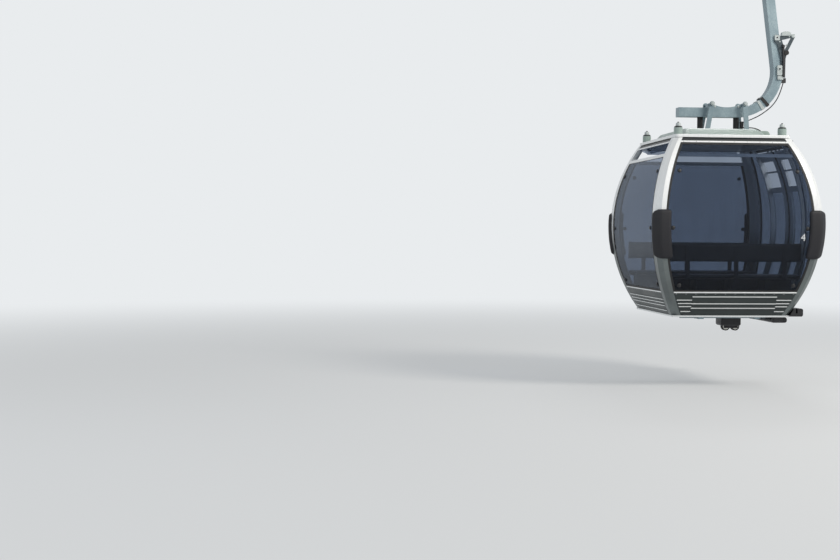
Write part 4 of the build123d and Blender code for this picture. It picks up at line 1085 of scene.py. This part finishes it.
# Beams of the underframe cross here, with a pair of screws from below at each crossing
CROSSINGS_X = (-0.430, 0.230)
CROSSINGS_Y = (-0.560, 0, 0.560)
CROSSING_SCREW_OFFSETS = (-0.018, 0.018)
UNDERFRAME_BOTTOM_Z = -3.935


def on_both_faces(places, y):
    """Places on the two faces of a part, and the outward directions there."""
    return [(Vector((x, side * y, z)), Vector((0, side, 0))) for side in (-1, 1) for x, z in places]


foot_bolts = [
    (Vector((x + offset, y, FOOT_TOP_Z)), up)
    for x in STRAP_FEET_X for y in (-FOOT_BOLT_Y, FOOT_BOLT_Y) for offset in FOOT_BOLT_OFFSETS
]
crossing_screws = [
    (Vector((x + offset, y + offset, UNDERFRAME_BOTTOM_Z)), -up)
    for x in CROSSINGS_X for y in CROSSINGS_Y for offset in CROSSING_SCREW_OFFSETS
]
bracket_screws = [(Vector((x, BRACKET_FACE_Y, z)), AHEAD) for x, z in BRACKET_SCREWS]
grip_bolts = on_both_faces(SPRING_SEAT_BOLTS, SPRING_SEAT_FACE_Y)
grip_bolts += on_both_faces(GRIP_BODY_BOLTS, GRIP_BODY_FACE_Y)
casing_screws = on_both_faces(CASING_SCREWS, CASING_END_Y)
fasteners("casing_screws", BOLT_HEADS, SMALL_SCREW, casing_screws, BLACK_PLASTIC, "carrier")
for name, body, head, places in (
    ("large_nuts", "carrier", LARGE_NUT, on_both_faces(STRAP_PINS, STRAP_PIN_END_Y)),
    ("frame_bolts", "carrier", FRAME_BOLT, foot_bolts + on_both_faces(SADDLE_BOLTS, SADDLE_FACE_Y)),
    ("frame_bolts", "grip", FRAME_BOLT, grip_bolts),
    ("small_screws", "carrier", SMALL_SCREW, bracket_screws + crossing_screws),
):
    fasteners(f"{name}_{body}", BOLT_HEADS, head, places, ZINC_PLATED, body)

# Screws along the door rails, on their outer faces: X and Z of each row, and its reach along Y
RAIL_SCREW_ROWS = ((0.676, -1.911, 0.560), (0.734, -3.854, 0.800))
RAIL_SCREW_COUNT = 9
RAIL_OUTWARD = Vector((1, 0, 0))
rail_screws = [
    (Vector((x, y, z)), RAIL_OUTWARD)
    for x, z, reach in RAIL_SCREW_ROWS for y in evenly(-reach, reach, RAIL_SCREW_COUNT)
]
fasteners("rail_screws", RIVET_HEADS, RAIL_SCREW, rail_screws, TURNED, "carrier")

# Guide rollers: pale hubs in dark tyres, on their pins
ROLLER_PLACES = (0.098, 0.214)
ROLLER_Z = -4.069
ROLLER_HALF = 0.027
HUB_PROFILE = (
    (0.037, -0.001), (0.037, 0.0008), (0.034, 0.0015), (0.016, 0.0015), (0.015, 0.003), (0.0095, 0.003),
)
shape = bmesh.new()
for x in ROLLER_PLACES:
    for side in (-1, 1):
        turned(shape, HUB_PROFILE, (x, side * ROLLER_HALF, ROLLER_Z), (0, side, 0))
piece_from("roller_hubs", mesh_of("roller_hubs", shape), NYLON, "carrier")


# Cables of the door gear, on the routes of the CAD
def held_cable(name, points, body):
    """A cable on one smooth spline, fixed at both ends."""
    curve = bpy.data.curves.new(name, "CURVE")
    curve.dimensions = "3D"
    curve.bevel_depth = CABLE_DIAMETER / 2
    curve.bevel_resolution = 5
    curve.resolution_u = 16
    curve.use_fill_caps = True
    spline = curve.splines.new("NURBS")
    spline.points.add(len(points) - 1)
    for point, place in zip(spline.points, points):
        point.co = (*place, 1)
    spline.order_u = 3
    spline.use_endpoint_u = True
    cable = placed(name, curve)
    curve.materials.append(CABLE_JACKET)
    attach(cable, body)
    return cable


CABLE_Y = -0.030
CABLE_DIAMETER = 0.012
DOOR_CABLE_ROUTE = (
    (0.758, -1.143), (0.719, -1.283), (0.635, -1.418), (0.493, -1.527), (0.383, -1.581), (0.272, -1.625),
)
ROOF_CABLE_ROUTE = (
    (0.272, -1.686), (0.340, -1.682), (0.425, -1.690), (0.492, -1.720), (0.520, -1.770), (0.524, -1.822),
)
for name, route, length in (
    ("door_cable", DOOR_CABLE_ROUTE, 0.722), ("roof_cable", ROOF_CABLE_ROUTE, 0.333),
):
    points = [(x, CABLE_Y, z) for x, z in route]
    cable = held_cable(f"{name}_run", points, "carrier")
    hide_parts(name)

# Number on the front pane, plain white film that follows the pane's curve just in front of it
NUMBER_ALONG = 0.725
NUMBER_Z = -3.032
NUMBER_SIZE = 0.115
FILM_HALF_THICKNESS = 0.0004
FILM_PROUD = PANE_PROUD + 0.0012
number = bpy.data.curves.new("cabin_number", "FONT")
number.body = "4"
number.size = NUMBER_SIZE
number.extrude = FILM_HALF_THICKNESS
number.align_x = "CENTER"
number_mesh = plain_mesh(placed("cabin_number", number))
for vertex in number_mesh.vertices:
    across, above, out = vertex.co
    vertex.co = wall_spot("front", NUMBER_ALONG + across, NUMBER_Z + above, FILM_PROUD + out)[0]
piece_from("cabin_number_film", number_mesh, WHITE_FILM, "carrier")

# Stage, lights and camera
FLOOR_Z = -4.75
FLOOR_REACH = 80
# The floor turns into the backdrop's colour between these distances, and glows a little all over
FADE_START = 5.0
FADE_END = 22.0
FLOOR_GLOW = 0.35
BACKDROP = "E9ECEE"
floor_shape = bmesh.new()
bmesh.ops.create_grid(floor_shape, x_segments=1, y_segments=1, size=FLOOR_REACH)
bmesh.ops.translate(floor_shape, verts=floor_shape.verts, vec=(0, 0, FLOOR_Z))
floor_mesh = bpy.data.meshes.new("studio_floor")
floor_shape.to_mesh(floor_mesh)
floor_shape.free()
floor = placed("studio_floor", floor_mesh)
finish, tree, output, place = new_finish("pale studio floor")
flat = add(tree, "ShaderNodeVectorMath", {1: (1, 1, 0)}, {0: place}, operation="MULTIPLY")
distance = add(tree, "ShaderNodeVectorMath", None, {0: flat.outputs[0]}, operation="LENGTH")
far = add(
    tree, "ShaderNodeMapRange", {"From Min": FADE_START, "From Max": FADE_END, "To Min": FLOOR_GLOW},
    {"Value": distance.outputs["Value"]}, interpolation_type="SMOOTHSTEP",
)
paint = add(tree, "ShaderNodeBsdfDiffuse", {"Color": linear("E4E6E7")})
glow = add(tree, "ShaderNodeEmission", {"Color": linear(BACKDROP), "Strength": 1.0})
fade = add(tree, "ShaderNodeMixShader", None, {0: far.outputs[0], 1: paint.outputs[0], 2: glow.outputs[0]})
tree.links.new(fade.outputs[0], output.inputs["Surface"])
floor_mesh.materials.append(finish)

world = bpy.data.worlds.new("studio")
bpy.context.scene.world = world
world.use_nodes = True
sky = world.node_tree
sky.nodes.clear()
# The camera, mirrors and glass see the pale backdrop, and the object is lit by the plain ambient light
rays = add(sky, "ShaderNodeLightPath").outputs
direct = rays["Is Camera Ray"]
for kind in ("Is Glossy Ray", "Is Transmission Ray"):
    direct = add(sky, "ShaderNodeMath", None, {0: direct, 1: rays[kind]}, operation="MAXIMUM").outputs[0]
ambient = add(sky, "ShaderNodeBackground", {"Color": linear("F2F5F8"), "Strength": 0.36})
backdrop = add(sky, "ShaderNodeBackground", {"Color": linear(BACKDROP), "Strength": 1.0})
both = add(
    sky, "ShaderNodeMixShader", None, {0: direct, 1: ambient.outputs[0], 2: backdrop.outputs[0]},
)
end = add(sky, "ShaderNodeOutputWorld")
sky.links.new(both.outputs[0], end.inputs["Surface"])


def soft_lamp(name, place, target, size, energy, tint):
    """A large soft lamp that faces a target."""
    lamp = bpy.data.lights.new(name, "AREA")
    lamp.shape = "RECTANGLE"
    lamp.size, lamp.size_y = size
    lamp.energy = energy
    lamp.color = linear(tint)[:3]
    holder = placed(name, lamp)
    holder.location = place
    holder.rotation_euler = (Vector(target) - Vector(place)).to_track_quat("-Z", "Y").to_euler()


MIDDLE = (0, 0, -2.6)
soft_lamp("key_lamp", (9.5, -9.5, 6.5), MIDDLE, (5.0, 4.0), 1650, "FFF9F0")
soft_lamp("fill_lamp", (-9.0, -6.0, 1.0), MIDDLE, (4.0, 4.0), 60, "EEF4FF")
soft_lamp("back_lamp", (3.0, 9.0, 7.0), MIDDLE, (5.0, 3.0), 300, "FFFFFF")

# Camera fitted to the photograph: its place, its turns in degrees and its focal length in pixels
CAMERA_PLACE = (-5.026, -16.014, -2.985)
CAMERA_YAW = 5.101
CAMERA_PITCH = -1.929
CAMERA_ROLL = 0.397
FOCAL_PIXELS = 1364
FRAME_WIDTH = 840


def aimed(yaw, pitch, roll):
    """The camera's turn: yaw to the right of +Y, pitch above level, roll about its line of sight."""
    yaw, pitch, roll = (math.radians(a) for a in (yaw, pitch, roll))
    ahead = Vector((math.sin(yaw) * math.cos(pitch), math.cos(yaw) * math.cos(pitch), math.sin(pitch)))
    right = Vector((math.cos(yaw), -math.sin(yaw), 0))
    above = right.cross(ahead)
    tilted_right = right * math.cos(roll) + above * math.sin(roll)
    tilted_above = above * math.cos(roll) - right * math.sin(roll)
    return Matrix((tilted_right, tilted_above, -ahead)).transposed().to_4x4()


lens = bpy.data.cameras.new("camera")
lens.sensor_width = 36
lens.lens = FOCAL_PIXELS * lens.sensor_width / FRAME_WIDTH
camera = placed("camera", lens)
camera.matrix_world = Matrix.Translation(CAMERA_PLACE) @ aimed(CAMERA_YAW, CAMERA_PITCH, CAMERA_ROLL)
bpy.context.scene.camera = camera
bpy.context.scene.view_settings.view_transform = "Standard"
